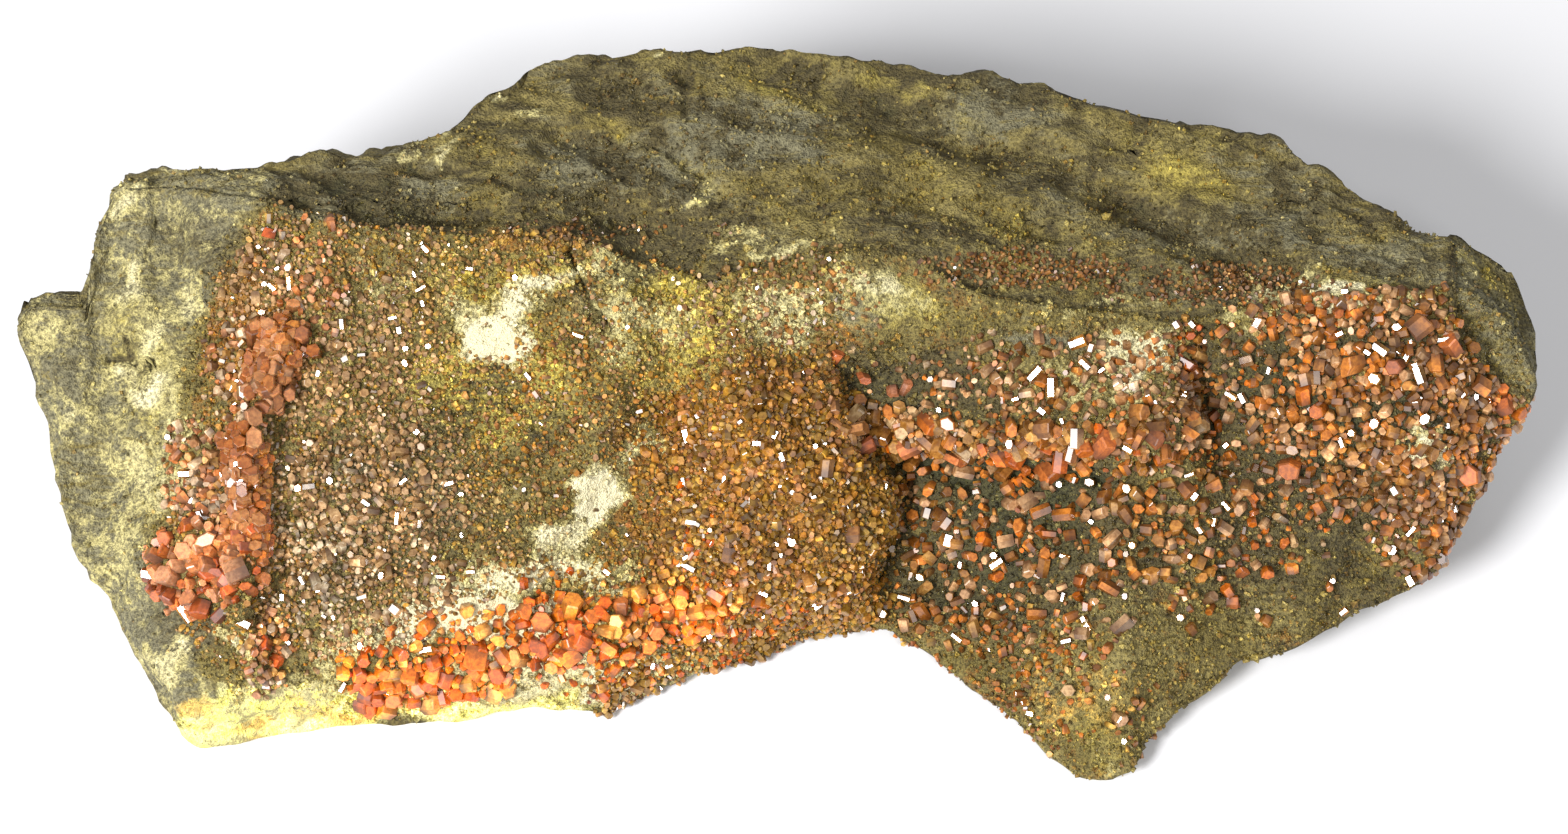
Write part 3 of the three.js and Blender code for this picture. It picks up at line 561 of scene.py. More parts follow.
# Rock colour: [u, v, half-width, half-height, strength] of each patch. No small
# crystals stand on the first BARE_PATCHES of the cream ones.
CREAM_PATCHES = [
    (-28.8, 44.2, 3.8, 3, 1.9), (-26.2, 47.6, 4.4, 2.8, 1), (-24, 49.8, 3, 1.4, 0.6),
    (-30, 46.5, 6, 3.4, 0.55), (-17, 8.5, 4.5, 2.6, 1.2), (-17.8, 28, 3.8, 4.6, 1.8),
    (-22, 24, 5.6, 3, 1.1), (-26.5, 20.5, 6, 3, 1.2), (-33, 17.5, 8, 3, 1.05),
    (-65.3, 57.8, 2.6, 2, 1), (-64.3, 49.8, 2.4, 4.5, 1), (-58.5, 47.5, 2.6, 4, 0.8),
    (-61.5, 43.5, 3, 3, 0.8), (-63, 39.3, 5.5, 2.2, 1.15), (-69.5, 36, 3.5, 1.6, 0.8),
    (-63, 30, 5, 5, 0.6), (-59, 35, 3, 4, 0.6), (-72.5, 46, 3, 3, 0.5), (-66, 22, 4, 6, 0.5),
    (-60.8, 12, 2.6, 3, 0.8), (-54, 13.5, 2, 2.5, 0.9), (64.5, 34, 3.6, 2.4, 1.1),
    (37, 42.5, 6, 4, 1), (33, 1.5, 3, 3, 0.3), (-28.5, 68.5, 3, 0.8, 0.8), (-34, 62.5, 3, 1, 0.7),
    (-35, 64.5, 3, 0.8, 0.5), (-11, 71.8, 2, 0.7, 0.8), (-24, 66, 2.5, 0.8, 0.5),
    (-9, 58.8, 6, 0.9, 0.5), (0, 52.4, 8, 1.2, 0.8), (-3, 54.5, 7, 1, 0.45),
    (54, 48.3, 14, 1.6, 1.05), (35.5, 39, 2.6, 2.2, 0.9), (30, 47.6, 10, 1, 0.45),
    (48, 46, 5, 2.2, 0.55), (-49, 8, 9, 4, 0.6), (-17, 51, 8, 3, 0.45), (-40, 50, 6, 2, 0.35),
    (9, 50, 5, 2, 0.5), (-45, 12, 4, 3, 0.5), (-14, 46, 8, 5, 0.6), (0, 46, 9, 5, 0.65),
    (-33, 36, 6, 4, 0.1), (-14, 33, 4, 2, 0.6), (-19, 20, 8, 3, 0.9), (11, 48, 7, 5, 0.35),
    (30, 40, 10, 4, 0.3), (-28, 15.5, 13, 3.4, 1.6), (-11, 12, 8, 2.4, 0.6),
    (-23.2, 49.6, 4, 1.8, 0.6), (-40, 14, 7, 3, 0.8), (-24, 10.5, 15, 3.6, 0.8),
    (-21, 50.5, 3, 1, 0.4),
]
BARE_PATCHES = 7
YELLOW_PATCHES = [
    (-29, 41, 14, 9, 0.6), (-2, 45, 14, 9, 0.45), (33, 4, 7, 7, 0.4), (12, 48, 7, 6, 0.6),
    (-12, 43, 9, 10, 0.5), (-28, 37, 12, 8, 0.6), (-15, 51, 12, 4, 0.7), (-62, 42, 12, 14, 0.3),
    (40, 60, 22, 7, 0.55), (0, 69, 26, 4, 0.55), (48, 46, 6, 6, 0.6), (-28, 50, 14, 4, 0.6),
    (25, 55, 14, 3, 0.5), (46, 16, 14, 5, 0.25), (60, 50, 12, 3, 0.4),
]
GREY_PATCHES = [
    (-38, 28, 14, 14, 0.5), (-58.5, 51, 8, 9, 0.5), (-63.5, 14, 5, 11, 0.6), (-42, 58, 14, 4, 0.8),
    (9, 47, 5, 5, 0.8), (20, 66, 9, 4, 0.7), (-12, 61, 14, 4, 0.6), (28, 44, 10, 3, 0.6),
    (62, 52, 9, 4, 0.6), (-70, 40, 5, 8, 0.6), (-3, 65, 12, 4, 0.6), (44, 55, 14, 4, 0.5),
]
PALE_LINE = [(-44, 12), (-30, 16.5), (-17, 20)]
GREY_SPOT = (-60, 15.5, 6, 4.5)
SULPHUR_PATCHES = [(-51, 5, 13, 6, 2), (-30, 7, 18, 4, 0.8), (33, 2, 4, 4, 0.25)]
OCHRE_PATCHES = [
    (-58, 7.5, 4, 2.4, 0.7), (-52, 4.5, 4, 2, 0.8), (-46.5, 6.5, 5, 2, 0.8), (-41, 5.8, 4, 1.6, 0.7),
    (30, 8, 9, 6, 0.4), (-24, 54.5, 10, 2, 0.6),
]
RUST_PATCHES = [(-2, 28, 19, 24, 0.5), (-53, 44, 8, 12, 0.4)]
# Darker parts of the face, and of the face and top together
DARK_FACE_PATCHES = [(56, 37, 21, 15, 1.2), (26, 25, 20, 13, 0.5), (16, 40, 11, 6, 0.3)]
DARK_PATCHES = [
    (-27, 37, 10, 7, 0.35), (-58.5, 52.5, 7, 8, 0.5), (-70, 40, 5, 4, 0.3), (50, 23, 20, 11, 0.5),
    (*GREY_SPOT, 0.5),
]


def patches(u, v, places):
    return sum(strength * oval(u, v, *place) for *place, strength in places)


def dark_mask(p, u, v, face, slope, top, rear, hollow_shade, banding, facet):
    """How dark the rock is: painted shade in its cracks and hollows, along the top's groove and along
    the end facet's edge, and darker beds along the rear.
    """
    # Painted shade in the cracks, in the hollow behind the ridge and along the edge of the end facet.
    cracks = crack_lines(*wandering(u, v), 1.2) + oval(u, v, -15, 51.3, 5, 3.5)
    spots = patches(u, v, DARK_PATCHES) + 0.6 * strip(u, v, FACET_EDGE, 1.2)
    spots = spots - 0.6 * strip(u, v, PALE_LINE, 4) - 0.95 * facet + 0.8 * cracks
    faced = 0.2 + patches(u, v, DARK_FACE_PATCHES) - 0.12 * slope
    faced = faced + 0.2 * (1 - slope) * oval(u, v, -36, 24, 18, 18)
    # Painted shade along the top's groove and in its hollows. The banding and mottling are the rock's
    # own, and the top is darker at its left.
    topped = 0.38 * oval(u, v, -42, 58, 16, 5) + 0.4 * strip(u, v, TOP_GROOVE, 4)
    topped = topped + 0.28 * banding + 0.5 * layered(p / 1.6, 3, 29) + 0.5 * hollow_shade + 0.15
    # Painted shade in the rear's hollows and along thin dark seams like cracks. The beds are the
    # rock's own banding.
    seams = smooth(1 - np.abs(layered(p / [18, 18, 5], 3, 41)) / 0.09)
    behind = 0.15 + 0.4 * banding + 0.7 * hollow_shade + 0.45 * seams
    return spots * np.clip(face + top, 0, 1) + faced * face + topped * top + behind * rear


def rock_masks(p, u, v, face, slope, top, rear, hollow_shade):
    """How far each colour covers the rock, in two sets of four."""
    mid = layered(p / 5, 2, 22)
    banding = layered(turned(p, GRAIN_ANGLE) / [11, 3, 7], 4, 27)
    wu, wv = u + 2.4 * layered(p / 3.2, 4, 23), v + 2 * layered(p / 3.2, 4, 24)
    front = np.clip(face + top, 0, 1)
    recess = smooth((-plate_drop(u, v) - 0.5) / 2.5) * face
    facet = smooth(facet_depth(u, v) / -0.7)
    cream = patches(wu, wv, CREAM_PATCHES) * front
    cream = np.where(slope > 0.5, 0.62 * np.minimum(cream, 1.2), cream)
    cream = cream + 1.6 * smooth(1.4 * (cream - 0.95)) + (0.14 + 0.2 * slope) * front + 0.12 * rear
    dark = dark_mask(p, u, v, face, slope, top, rear, hollow_shade, banding, facet)
    dark = dark + 0.65 * recess + 0.25 * mid
    rust = face * (1 - slope) * (0.3 + patches(u, v, RUST_PATCHES)) + 0.15 * mid - 0.15 * recess
    rust = rust + front * (0.7 * oval(u, v, -24, 54.5, 9, 2.5) - 0.1 * facet)
    yellow = patches(wu, wv, YELLOW_PATCHES) * (face + 0.3 * top) + 0.2 * top + 0.1 * mid
    yellow = yellow + rear * (0.25 - 0.25 * hollow_shade) + 0.18 * slope * face
    yellow = yellow - 0.2 * banding * (top + 0.5 * rear)
    grey = patches(wu, wv, GREY_PATCHES) + 0.5 * facet + 1.2 * oval(u, v, *GREY_SPOT)
    grey = grey * front + 0.3 * rear + top * (0.35 + 0.35 * banding) + 0.65 * slope * face
    sulphur = patches(wu, wv, SULPHUR_PATCHES) * face
    ochre = patches(wu, wv, OCHRE_PATCHES) * face
    gritty = 1 - 0.2 * top * smooth((v - 52) / 10) - 0.2 * rear - 0.5 * sulphur.clip(0, 1)
    sets = (cream, dark, rust, yellow), (grey, sulphur, ochre, gritty)
    return [np.clip(np.stack(four, -1), 0, 3) for four in sets]


seen_face = np.maximum(on_face, smooth((ROWS - FOOT_ROW + 1) / 0.4) * (ROWS < FOOT_ROW + 1))
left_top = on_top * smooth((-50 - U) / 5)
# Painted shade: how deep each point lies in the fine relief. It darkens the hollows and makes the
# rear's hollows less yellow.
painted_hollow_shade = smooth(0.35 - amount / 1.6)
face_and_left, rest_of_top = seen_face + left_top, on_top - left_top
MASKS, HUES = rock_masks(surface, U, V, face_and_left, slope_side, rest_of_top, on_rear, painted_hollow_shade)


# Shader helpers
class Nodes:
    """A short way to build a material's node tree."""

    def __init__(self, name):
        self.material = bpy.data.materials.new(name)
        self.material.use_nodes = True
        self.tree = self.material.node_tree
        self.shader = self.tree.nodes["Principled BSDF"]

    def add(self, kind, inputs=(), **settings):
        node = self.tree.nodes.new(kind)
        for key, value in settings.items():
            setattr(node, key, value)
        for key, value in dict(inputs).items():
            self.set(node.inputs[key], value)
        return node

    def set(self, socket, value):
        if isinstance(value, bpy.types.NodeSocket):
            self.tree.links.new(value, socket)
        else:
            socket.default_value = value

    def shade(self, **inputs):
        for key, value in inputs.items():
            self.set(self.shader.inputs[key.replace("_", " ")], value)

    def attribute(self, name):
        return self.add("ShaderNodeAttribute", attribute_name=name)

    def place(self, scale):
        """The point's place in the object, scaled so that 1 is 1 / scale millimetres."""
        where = self.add("ShaderNodeTexCoord").outputs["Object"]
        scales = scale if isinstance(scale, tuple) else (scale,) * 3
        inputs = {"Vector": where, "Scale": [1000 * s for s in scales]}
        return self.add("ShaderNodeMapping", inputs).outputs[0]

    def noise(self, scale, detail=3, roughness=0.6):
        inputs = {"Vector": self.place(scale), "Scale": 1, "Detail": detail, "Roughness": roughness}
        return self.add("ShaderNodeTexNoise", inputs).outputs["Fac"]

    def ramp(self, value, low, high):
        inputs = {"Value": value, "From Min": low, "From Max": high}
        return self.add("ShaderNodeMapRange", inputs, interpolation_type="SMOOTHSTEP").outputs[0]

    def mix(self, factor, a, b, blend="MIX"):
        node = self.add("ShaderNodeMix", data_type="RGBA", blend_type=blend)
        for index, value in ((0, factor), (6, a), (7, b)):
            self.set(node.inputs[index], value)
        return node.outputs[2]

    def maths(self, operation, a, b):
        node = self.add("ShaderNodeMath", operation=operation)
        self.set(node.inputs[0], a)
        self.set(node.inputs[1], b)
        return node.outputs[0]

    def patchy(self, amount, noise, spread=5.0, soft=0.16):
        """Ragged patches that cover about the given share of the surface."""
        ragged = self.maths("MULTIPLY", self.maths("SUBTRACT", noise, 0.5), spread)
        value = self.maths("MULTIPLY", amount, self.maths("ADD", ragged, 1.0))
        return self.ramp(value, 0.5 - soft, 0.5 + soft)

    def shaded(self, colour, value, dark, light):
        """The colour made darker or lighter, by factors, where the value is low or high."""
        grey = self.mix(value, (dark,) * 3 + (1,), (light,) * 3 + (1,))
        return self.mix(1.0, colour, grey, "MULTIPLY")

    def bump(self, height, distance):
        inputs = {"Height": height, "Distance": distance * MM, "Strength": 1.0}
        return self.add("ShaderNodeBump", inputs).outputs[0]


def rock_material():
    """Olive-brown rock with patches of other colours and a gritty skin."""
    n = Nodes("rock")
    masks = n.attribute("masks")
    cream, dark, rust = n.add("ShaderNodeSeparateColor", {"Color": masks.outputs["Color"]}).outputs
    yellow = masks.outputs["Alpha"]
    hues = n.attribute("hues")
    grey, sulphur, ochre = n.add("ShaderNodeSeparateColor", {"Color": hues.outputs["Color"]}).outputs
    broad, ragged = n.noise(0.16, 2, 0.65), n.noise(0.55, 4, 0.82)
    streaks, grit = n.noise((0.22, 1.5, 1.1), 2, 0.75), n.noise(2.6, 2, 0.85)
    colour = n.mix(n.ramp(broad, 0.38, 0.62), rgba(tone(138, 122, 62)), rgba(tone(160, 144, 84)))
    colour = n.mix(n.patchy(grey, streaks, 3, 0.3), colour, rgba(tone(146, 139, 106)))
    colour = n.mix(n.patchy(rust, ragged), colour, rgba(tone(172, 120, 46)))
    yellows = n.patchy(yellow, n.mix(0.5, streaks, ragged), 4, 0.25)
    colour = n.mix(yellows, colour, rgba(tone(210, 190, 92)))
    # Dark rock, and the painted shade of cracks and hollows that the dark mask carries
    depths = n.mix(n.ramp(dark, 0.8, 1.7), rgba(tone(104, 92, 54)), rgba(tone(80, 78, 44)))
    colour = n.mix(n.patchy(dark, n.mix(0.6, ragged, streaks), 5, 0.35), colour, depths)
    pair = rgba(1.75 * tone(248, 238, 124)), rgba(2 * tone(252, 246, 176))
    sulphurs = n.mix(n.ramp(ragged, 0.42, 0.6), *pair)
    colour = n.mix(n.patchy(sulphur, ragged, 3, 0.3), colour, sulphurs)
    colour = n.mix(n.patchy(ochre, ragged, 5, 0.3), colour, rgba(1.2 * tone(240, 196, 96)))
    chalk = n.mix(n.ramp(cream, 0.5, 1.4), rgba(tone(226, 212, 142)), rgba(1.35 * tone(246, 236, 192)))
    colour = n.mix(n.patchy(cream, ragged, 5.5, 0.22), colour, chalk)
    rough = n.mix(hues.outputs["Alpha"], colour, n.shaded(colour, n.ramp(grit, 0.3, 0.7), 0.42, 1.55))
    colour = n.mix(n.ramp(cream, 1.0, 2.4), rough, n.shaded(colour, grit, 0.8, 1.2))
    colour = n.mix(1.0, colour, n.attribute("shade").outputs["Color"], "MULTIPLY")
    n.shade(Base_Color=colour, Roughness=n.attribute("dull").outputs["Fac"], Normal=n.bump(grit, 0.5))
    n.shader.inputs["IOR"].default_value = 1.45
    return n.material


def crystal_material(name, scattering=0, index=1.75):
    """Glossy prisms, clouded inside, with painted shade that darkens them towards their roots."""
    n = Nodes(name)
    cloud = n.ramp(n.noise(2.2, 2, 0.7), 0.3, 0.7)
    tints = n.mix(cloud, (0.68, 0.57, 0.45, 1), (1.26, 1.26, 1.22, 1))
    # Each crystal's colour, with painted reflections on its sides and painted light on its ends
    colour = n.mix(1.0, n.attribute("tint_and_painted_light").outputs["Color"], tints, "MULTIPLY")
    # Painted shade: the root ring of each crystal is mixed towards dark brown, where it meets the
    # rock.
    depth = n.ramp(n.attribute("rise").outputs["Fac"], 0.85, 0.0)
    colour = n.mix(n.maths("MULTIPLY", depth, 0.75), colour, rgba(tone(84, 44, 14)))
    n.shade(Base_Color=colour, Roughness=n.attribute("dull").outputs["Fac"])
    n.shader.inputs["IOR"].default_value = index
    n.shader.inputs["Subsurface Weight"].default_value = scattering
    n.shader.inputs["Subsurface Radius"].default_value = (1, 0.4, 0.15)
    n.shader.inputs["Subsurface Scale"].default_value = 0.7 * MM
    return n.material


# Rock
def ring_faces(lines, ring):
    start = np.arange(lines - 1)[:, None] * ring
    a = start + np.arange(ring)[None]
    b = start + (np.arange(ring)[None] + 1) % ring
    return np.stack([a, a + ring, b + ring, b], -1).reshape(-1, 4)


def end_fan(start, ring, centre, turned_round):
    a = start + np.arange(ring)
    b = start + (np.arange(ring) + 1) % ring
    pair = (b, a) if turned_round else (a, b)
    return np.stack([np.full(ring, centre), *pair], -1)


def make_rock(material):
    lines, ring, _ = surface.shape
    points = np.concatenate([surface.reshape(-1, 3), [surface[0].mean(0), surface[-1].mean(0)]])
    count = lines * ring
    left, right = end_fan(0, ring, count, False), end_fan(count - ring, ring, count + 1, True)
    faces = [ring_faces(lines, ring), left, right]
    attributes = [("shade", np.ones((count + 2, 4))), ("dull", np.full(count + 2, 0.75))]
    for key, grid in (("masks", MASKS), ("hues", HUES)):
        values = grid.reshape(-1, 4)
        attributes.append((key, np.concatenate([values, values[:1], values[-1:]])))
    rock = mesh_object("rock", points, faces, attributes, material, flat=False)
    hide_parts("matrix")
    return rock


# The eye and the key light
VIEW_UP = np.array([0, SIN_TILT, COS_TILT])
TARGET = np.array([AIM_U, -DEPTH_MID, 0]) + VIEW_UP * AIM_V + NORMAL * AIM_RISE
EYE = TARGET + NORMAL * EYE_DISTANCE
KEY_PLACE = (-0.36, -0.5, 0.45)


# Where crystals can stand
random = np.random.default_rng(7)
CELLS = (slice(0, -1), slice(0, -1))
CELL_U, CELL_V, CELL_ROW = U[CELLS], V[CELLS], (ROWS + 0 * U)[CELLS]
step_a = surface[1:, :-1] - surface[:-1, :-1]
step_b = surface[:-1, 1:] - surface[:-1, :-1]
CELL_AREA = np.linalg.norm(np.cross(step_a, step_b), axis=-1)
CELL_FACE = (CELL_ROW > FOOT_ROW - 0.4) & (CELL_ROW < RIDGE_ROW + 0.3)
CLUMPS = 0.5 + 0.5 * noise(CELL_U / 2.2, CELL_V / 2.2, 5 + 0 * CELL_U)


def spots(density, count):
    """Random places on the surface, where density is high: points, normals and cells."""
    weight = (density * CELL_AREA).ravel()
    pick = random.choice(weight.size, count, p=weight / weight.sum())
    i, j = np.unravel_index(pick, CELL_AREA.shape)
    s, t = random.random((2, count, 1))
    return surface[i, j] + s * step_a[i, j] + t * step_b[i, j], NORMALS[i, j], (i, j)


class Crowd:
    """The places already taken, so that crystals keep apart."""

    def __init__(self, cell):
        self.cell = cell
        self.taken = {}

    def admits(self, point, reach, closeness):
        x, y, z = (int(c // self.cell) for c in point)
        for key in [(x + a, y + b, z + c) for a in (-1, 0, 1) for b in (-1, 0, 1) for c in (-1, 0, 1)]:
            for other, other_reach in self.taken.get(key, ()):
                if math.dist(point, other) < closeness * (reach + other_reach):
                    return False
        self.taken.setdefault((x, y, z), []).append((point, reach))
        return True


crowd = Crowd(1.6)


def leaning(normals, most):
    """Directions that lean from the normals by random angles up to most."""
    side = unit(np.cross(normals, unit(random.normal(size=normals.shape))))
    angle = most * random.random((len(normals), 1)) ** 0.6
    return unit(normals * np.cos(angle) + side * np.sin(angle))


def mirror_directions(points):
    """The way that a flat face looks when it sends the key light to the eye."""
    return unit(unit(EYE - points) + unit(np.array(KEY_PLACE) / MM - points))


def kept_inside(verts):
    """Shapes moved just far enough to lie within the solids' box."""
    over = np.maximum(verts.max(1) - HIGHEST, 0) + np.minimum(verts.min(1) - LOWEST - [0, 0, 0.05], 0)
    return verts - over[:, None]


# Each shape's rings from the root to the end, as (radius, height): 0 is the root, 2 the
# end, and between 1 and 2 the rounding of the end's edge. Crystals no larger than FINE
# are made plainly. SHINE is the roughness of those that glint.
PRISM = [(0.96, 0), (1, 1), (0.86, 2)]
SMALL_PRISM = [(0.95, 0), (1, 2)]
BEVEL = 0.14
FINE = 0.34
SHINE = 0.06
# Painted light: the end faces are made lighter than the sides, as lit tops.
CAP_PAINTED_LIGHT = np.array([1.2, 1.14, 1.12])


def prisms(shape, points, axes, facing, radii, lengths, tints, dull):
    """Closed six-sided prisms, one side face towards facing, with their attributes."""
    count, rings = len(points), len(shape)
    right = unit(facing - axes * (facing * axes).sum(1)[:, None])
    ahead = np.cross(axes, right)
    angles = math.pi / 6 + np.arange(6) * math.pi / 3
    uneven = (dull > SHINE)[:, None]
    wobble = 1 + (0.02 + 0.08 * uneven) * random.normal(size=(count, 6)).clip(-1.2, 1.2)
    squeeze = 1 + 0.12 * random.normal(size=(count, 1)).clip(-1.5, 1.5)
    slant = 0.12 * uneven * random.normal(size=(count, 2)).clip(-2, 2)
    bevel = np.minimum(BEVEL * radii, 0.3 * lengths)
    verts = []
    for width, height in shape:
        out = radii[:, None] * width * wobble
        x, y = out * np.cos(angles) * squeeze, out * np.sin(angles) / squeeze
        level = lengths - bevel * (2 - height) if height >= 1 else lengths * height
        tip = level[:, None] + (x * slant[:, :1] + y * slant[:, 1:]) * (height > 0)
        offset = right[:, None] * x[..., None] + ahead[:, None] * y[..., None]
        verts.append(points[:, None] + offset + axes[:, None] * tip[..., None])
    verts = kept_inside(np.concatenate(verts, 1)).reshape(-1, 3)
    k, base = np.arange(6), (np.arange(count) * 6 * rings)[:, None, None]
    band = np.stack([k, (k + 1) % 6, 6 + (k + 1) % 6, 6 + k], -1)
    sides = np.concatenate([band + 6 * r for r in range(rings - 1)])
    caps = np.stack([k[::-1], (rings - 1) * 6 + k])
    faces = [(base + sides).reshape(-1, 4), (base + caps).reshape(-1, 6)]
    rise = np.tile(np.repeat([0.0] + [1.0] * (rings - 1), 6), count)
    # Painted reflections: each side face is made brighter or darker at random, standing in for
    # reflections inside the crystal.
    painted_reflections = np.exp(0.32 * random.normal(size=(count, 6)).clip(-1.8, 1.8))
    side_tints_and_reflections = tints[:, None] * np.tile(painted_reflections, (1, rings - 1))[..., None]
    # Painted light: both end faces are lighter than the sides.
    face_tints_and_light = np.concatenate([side_tints_and_reflections.reshape(-1, 3), np.repeat(tints * CAP_PAINTED_LIGHT, 2, 0)])
    face_tints_and_light = np.concatenate([face_tints_and_light, np.ones((len(face_tints_and_light), 1))], 1)
    face_dull = np.concatenate([np.repeat(dull, 6 * (rings - 1)), np.repeat(dull, 2)])
    return verts, faces, [("tint_and_painted_light", face_tints_and_light), ("rise", rise), ("dull", face_dull)]


def tones(*screen_colours):
    return [tone(*colour) for colour in screen_colours]


def scaled(gain, colours):
    return [gain * colour for colour in colours]


# Crystal colours, as they look in the studio light
RED = tones((226, 142, 72), (210, 116, 54), (186, 92, 40), (216, 138, 80), (230, 164, 116))
WALL = tones((188, 121, 60), (174, 103, 42), (196, 135, 80))
AMBER = tones((228, 164, 70), (206, 134, 48), (188, 106, 34))
ORANGE = tones((252, 190, 84), (248, 162, 52), (238, 134, 30), (216, 106, 20), (248, 178, 100))
GLOWING = tones((248, 158, 52), (240, 132, 34), (222, 106, 24), (250, 180, 84), (232, 138, 66))
TAN = tones((210, 158, 84), (188, 132, 62), (158, 104, 46), (204, 126, 50), (214, 168, 120))
SANDY = tones((212, 184, 120), (190, 156, 98), (162, 128, 76), (200, 150, 88), (226, 200, 156))
GOLD = tones((208, 168, 80), (186, 144, 56), (152, 114, 40), (198, 138, 54), (186, 128, 74))
PINK = tones((206, 168, 124), (184, 142, 98), (166, 120, 78), (224, 196, 160))
RUSSET = tones((222, 132, 46), (204, 112, 34))
BROWN = tones((162, 116, 62), (142, 98, 50), (180, 136, 82))
ROSY = tones((208, 174, 127), (192, 155, 108), (173, 137, 91), (216, 178, 131), (232, 212, 178))


# Where each growth stands, as how thickly it covers the surface at (u, v). Those that are
# only a few patches are given with the table of growths.
def vein_zone(u, v):
    return strip(u, v, [(-53.8, 33.5), (-53.6, 28), (-53.2, 23.5)], 1.4) ** 0.5


def vein_edge_zone(u, v):
    return strip(u, v, [(-52, 33), (-51.8, 28), (-51.6, 22.5)], 0.7) ** 0.5


def front_zone(u, v):
    line = [(-43, 9.5), (-38, 9.3), (-30, 12), (-24, 14), (-17, 14.5), (-9, 17)]
    rim = (1 - smooth((u + 21) / 3)) * (1 - smooth(v - along(FOOT, u) - 1))
    inner = smooth((u + 44.8 - 0.55 * (12 - v)) / 1.2) * (1 - rim)
    return (strip(u, v, line, 4.2) + 0.3 * strip(u, v, line, 7)) * inner


def buttress_zone(u, v):
    rim = strip(u, v, [(-16, 10), (-8, 12.5), (2, 15.5), (9, 17)], 3)
    return patches(u, v, [(-1, 27, 15, 19, 1), (-12, 18, 12, 6, 0.35)]) + 0.6 * rim


def buttress_orange_zone(u, v):
    rim = 0.7 * strip(u, v, [(-17, 9), (-8, 12.5), (1, 15)], 3)
    return patches(u, v, [(-9, 26, 3.5, 7, 1), (-9.5, 18, 7, 5, 0.8), (-2, 16, 8, 5, 0.3)]) + rim


def ledge_zone(u, v):
    line = [(8, 36), (13, 35.2), (19, 34.2), (28, 34), (35, 34), (41, 36)]
    boss = 0.6 * strip(u, v, [(40.8, 43.5), (40.3, 37)], 2.6)
    return smooth(1.4 * strip(u, v, line, 2.4)) + boss


def plate_zone(u, v):
    upper = smooth((v - 11 - 0.12 * np.maximum(u - 30, 0)) / 15)
    field = oval(u, v, 29, 24, 34, 22) * (0.04 + 0.96 * upper) * smooth((u - 11) / 2.5)
    return field + 0.3 * oval(u, v, 33, 9, 6, 5) + 0.8 * oval(u, v, 17, 19, 7, 6)


def right_zone(u, v):
    distance, side = from_polyline(FACET_EDGE, u, v)
    facet = smooth((side * distance + 1.6) / 1.2)
    bare = 0.8 * oval(u, v, 64.3, 34, 3.2, 2.2) + 0.6 * oval(u, v, 48, 39, 5, 5)
    field = np.maximum(oval(u, v, 60, 38, 21, 15), oval(u, v, 64, 28, 7, 9))
    return field * smooth((u - 42) / 3) * (1 - facet) * (1 - bare)


def left_face_zone(u, v):
    bare = smooth(1.3 * patches(u, v, CREAM_PATCHES[:BARE_PATCHES]))
    edges = smooth((u - along(BARE_EDGE, v)) / 4) * smooth((-7 - u) / 6) * smooth((v - 10) / 4)
    band = strip(u, v, [(-40, 13.5), (-30, 17), (-20, 21)], 3)
    nose = oval(u, v, -10, 47, 15, 10)
    return edges * (1 - 0.97 * bare) * (1 - 0.5 * band) * (1 - 0.75 * nose)


def left_brown_zone(u, v):
    brown = [(-42, 26, 13, 20, 1), (-42, 44, 10, 8, 0.6), (-51, 48, 8, 10, 0.8)]
    return patches(u, v, brown) * left_face_zone(u, v)


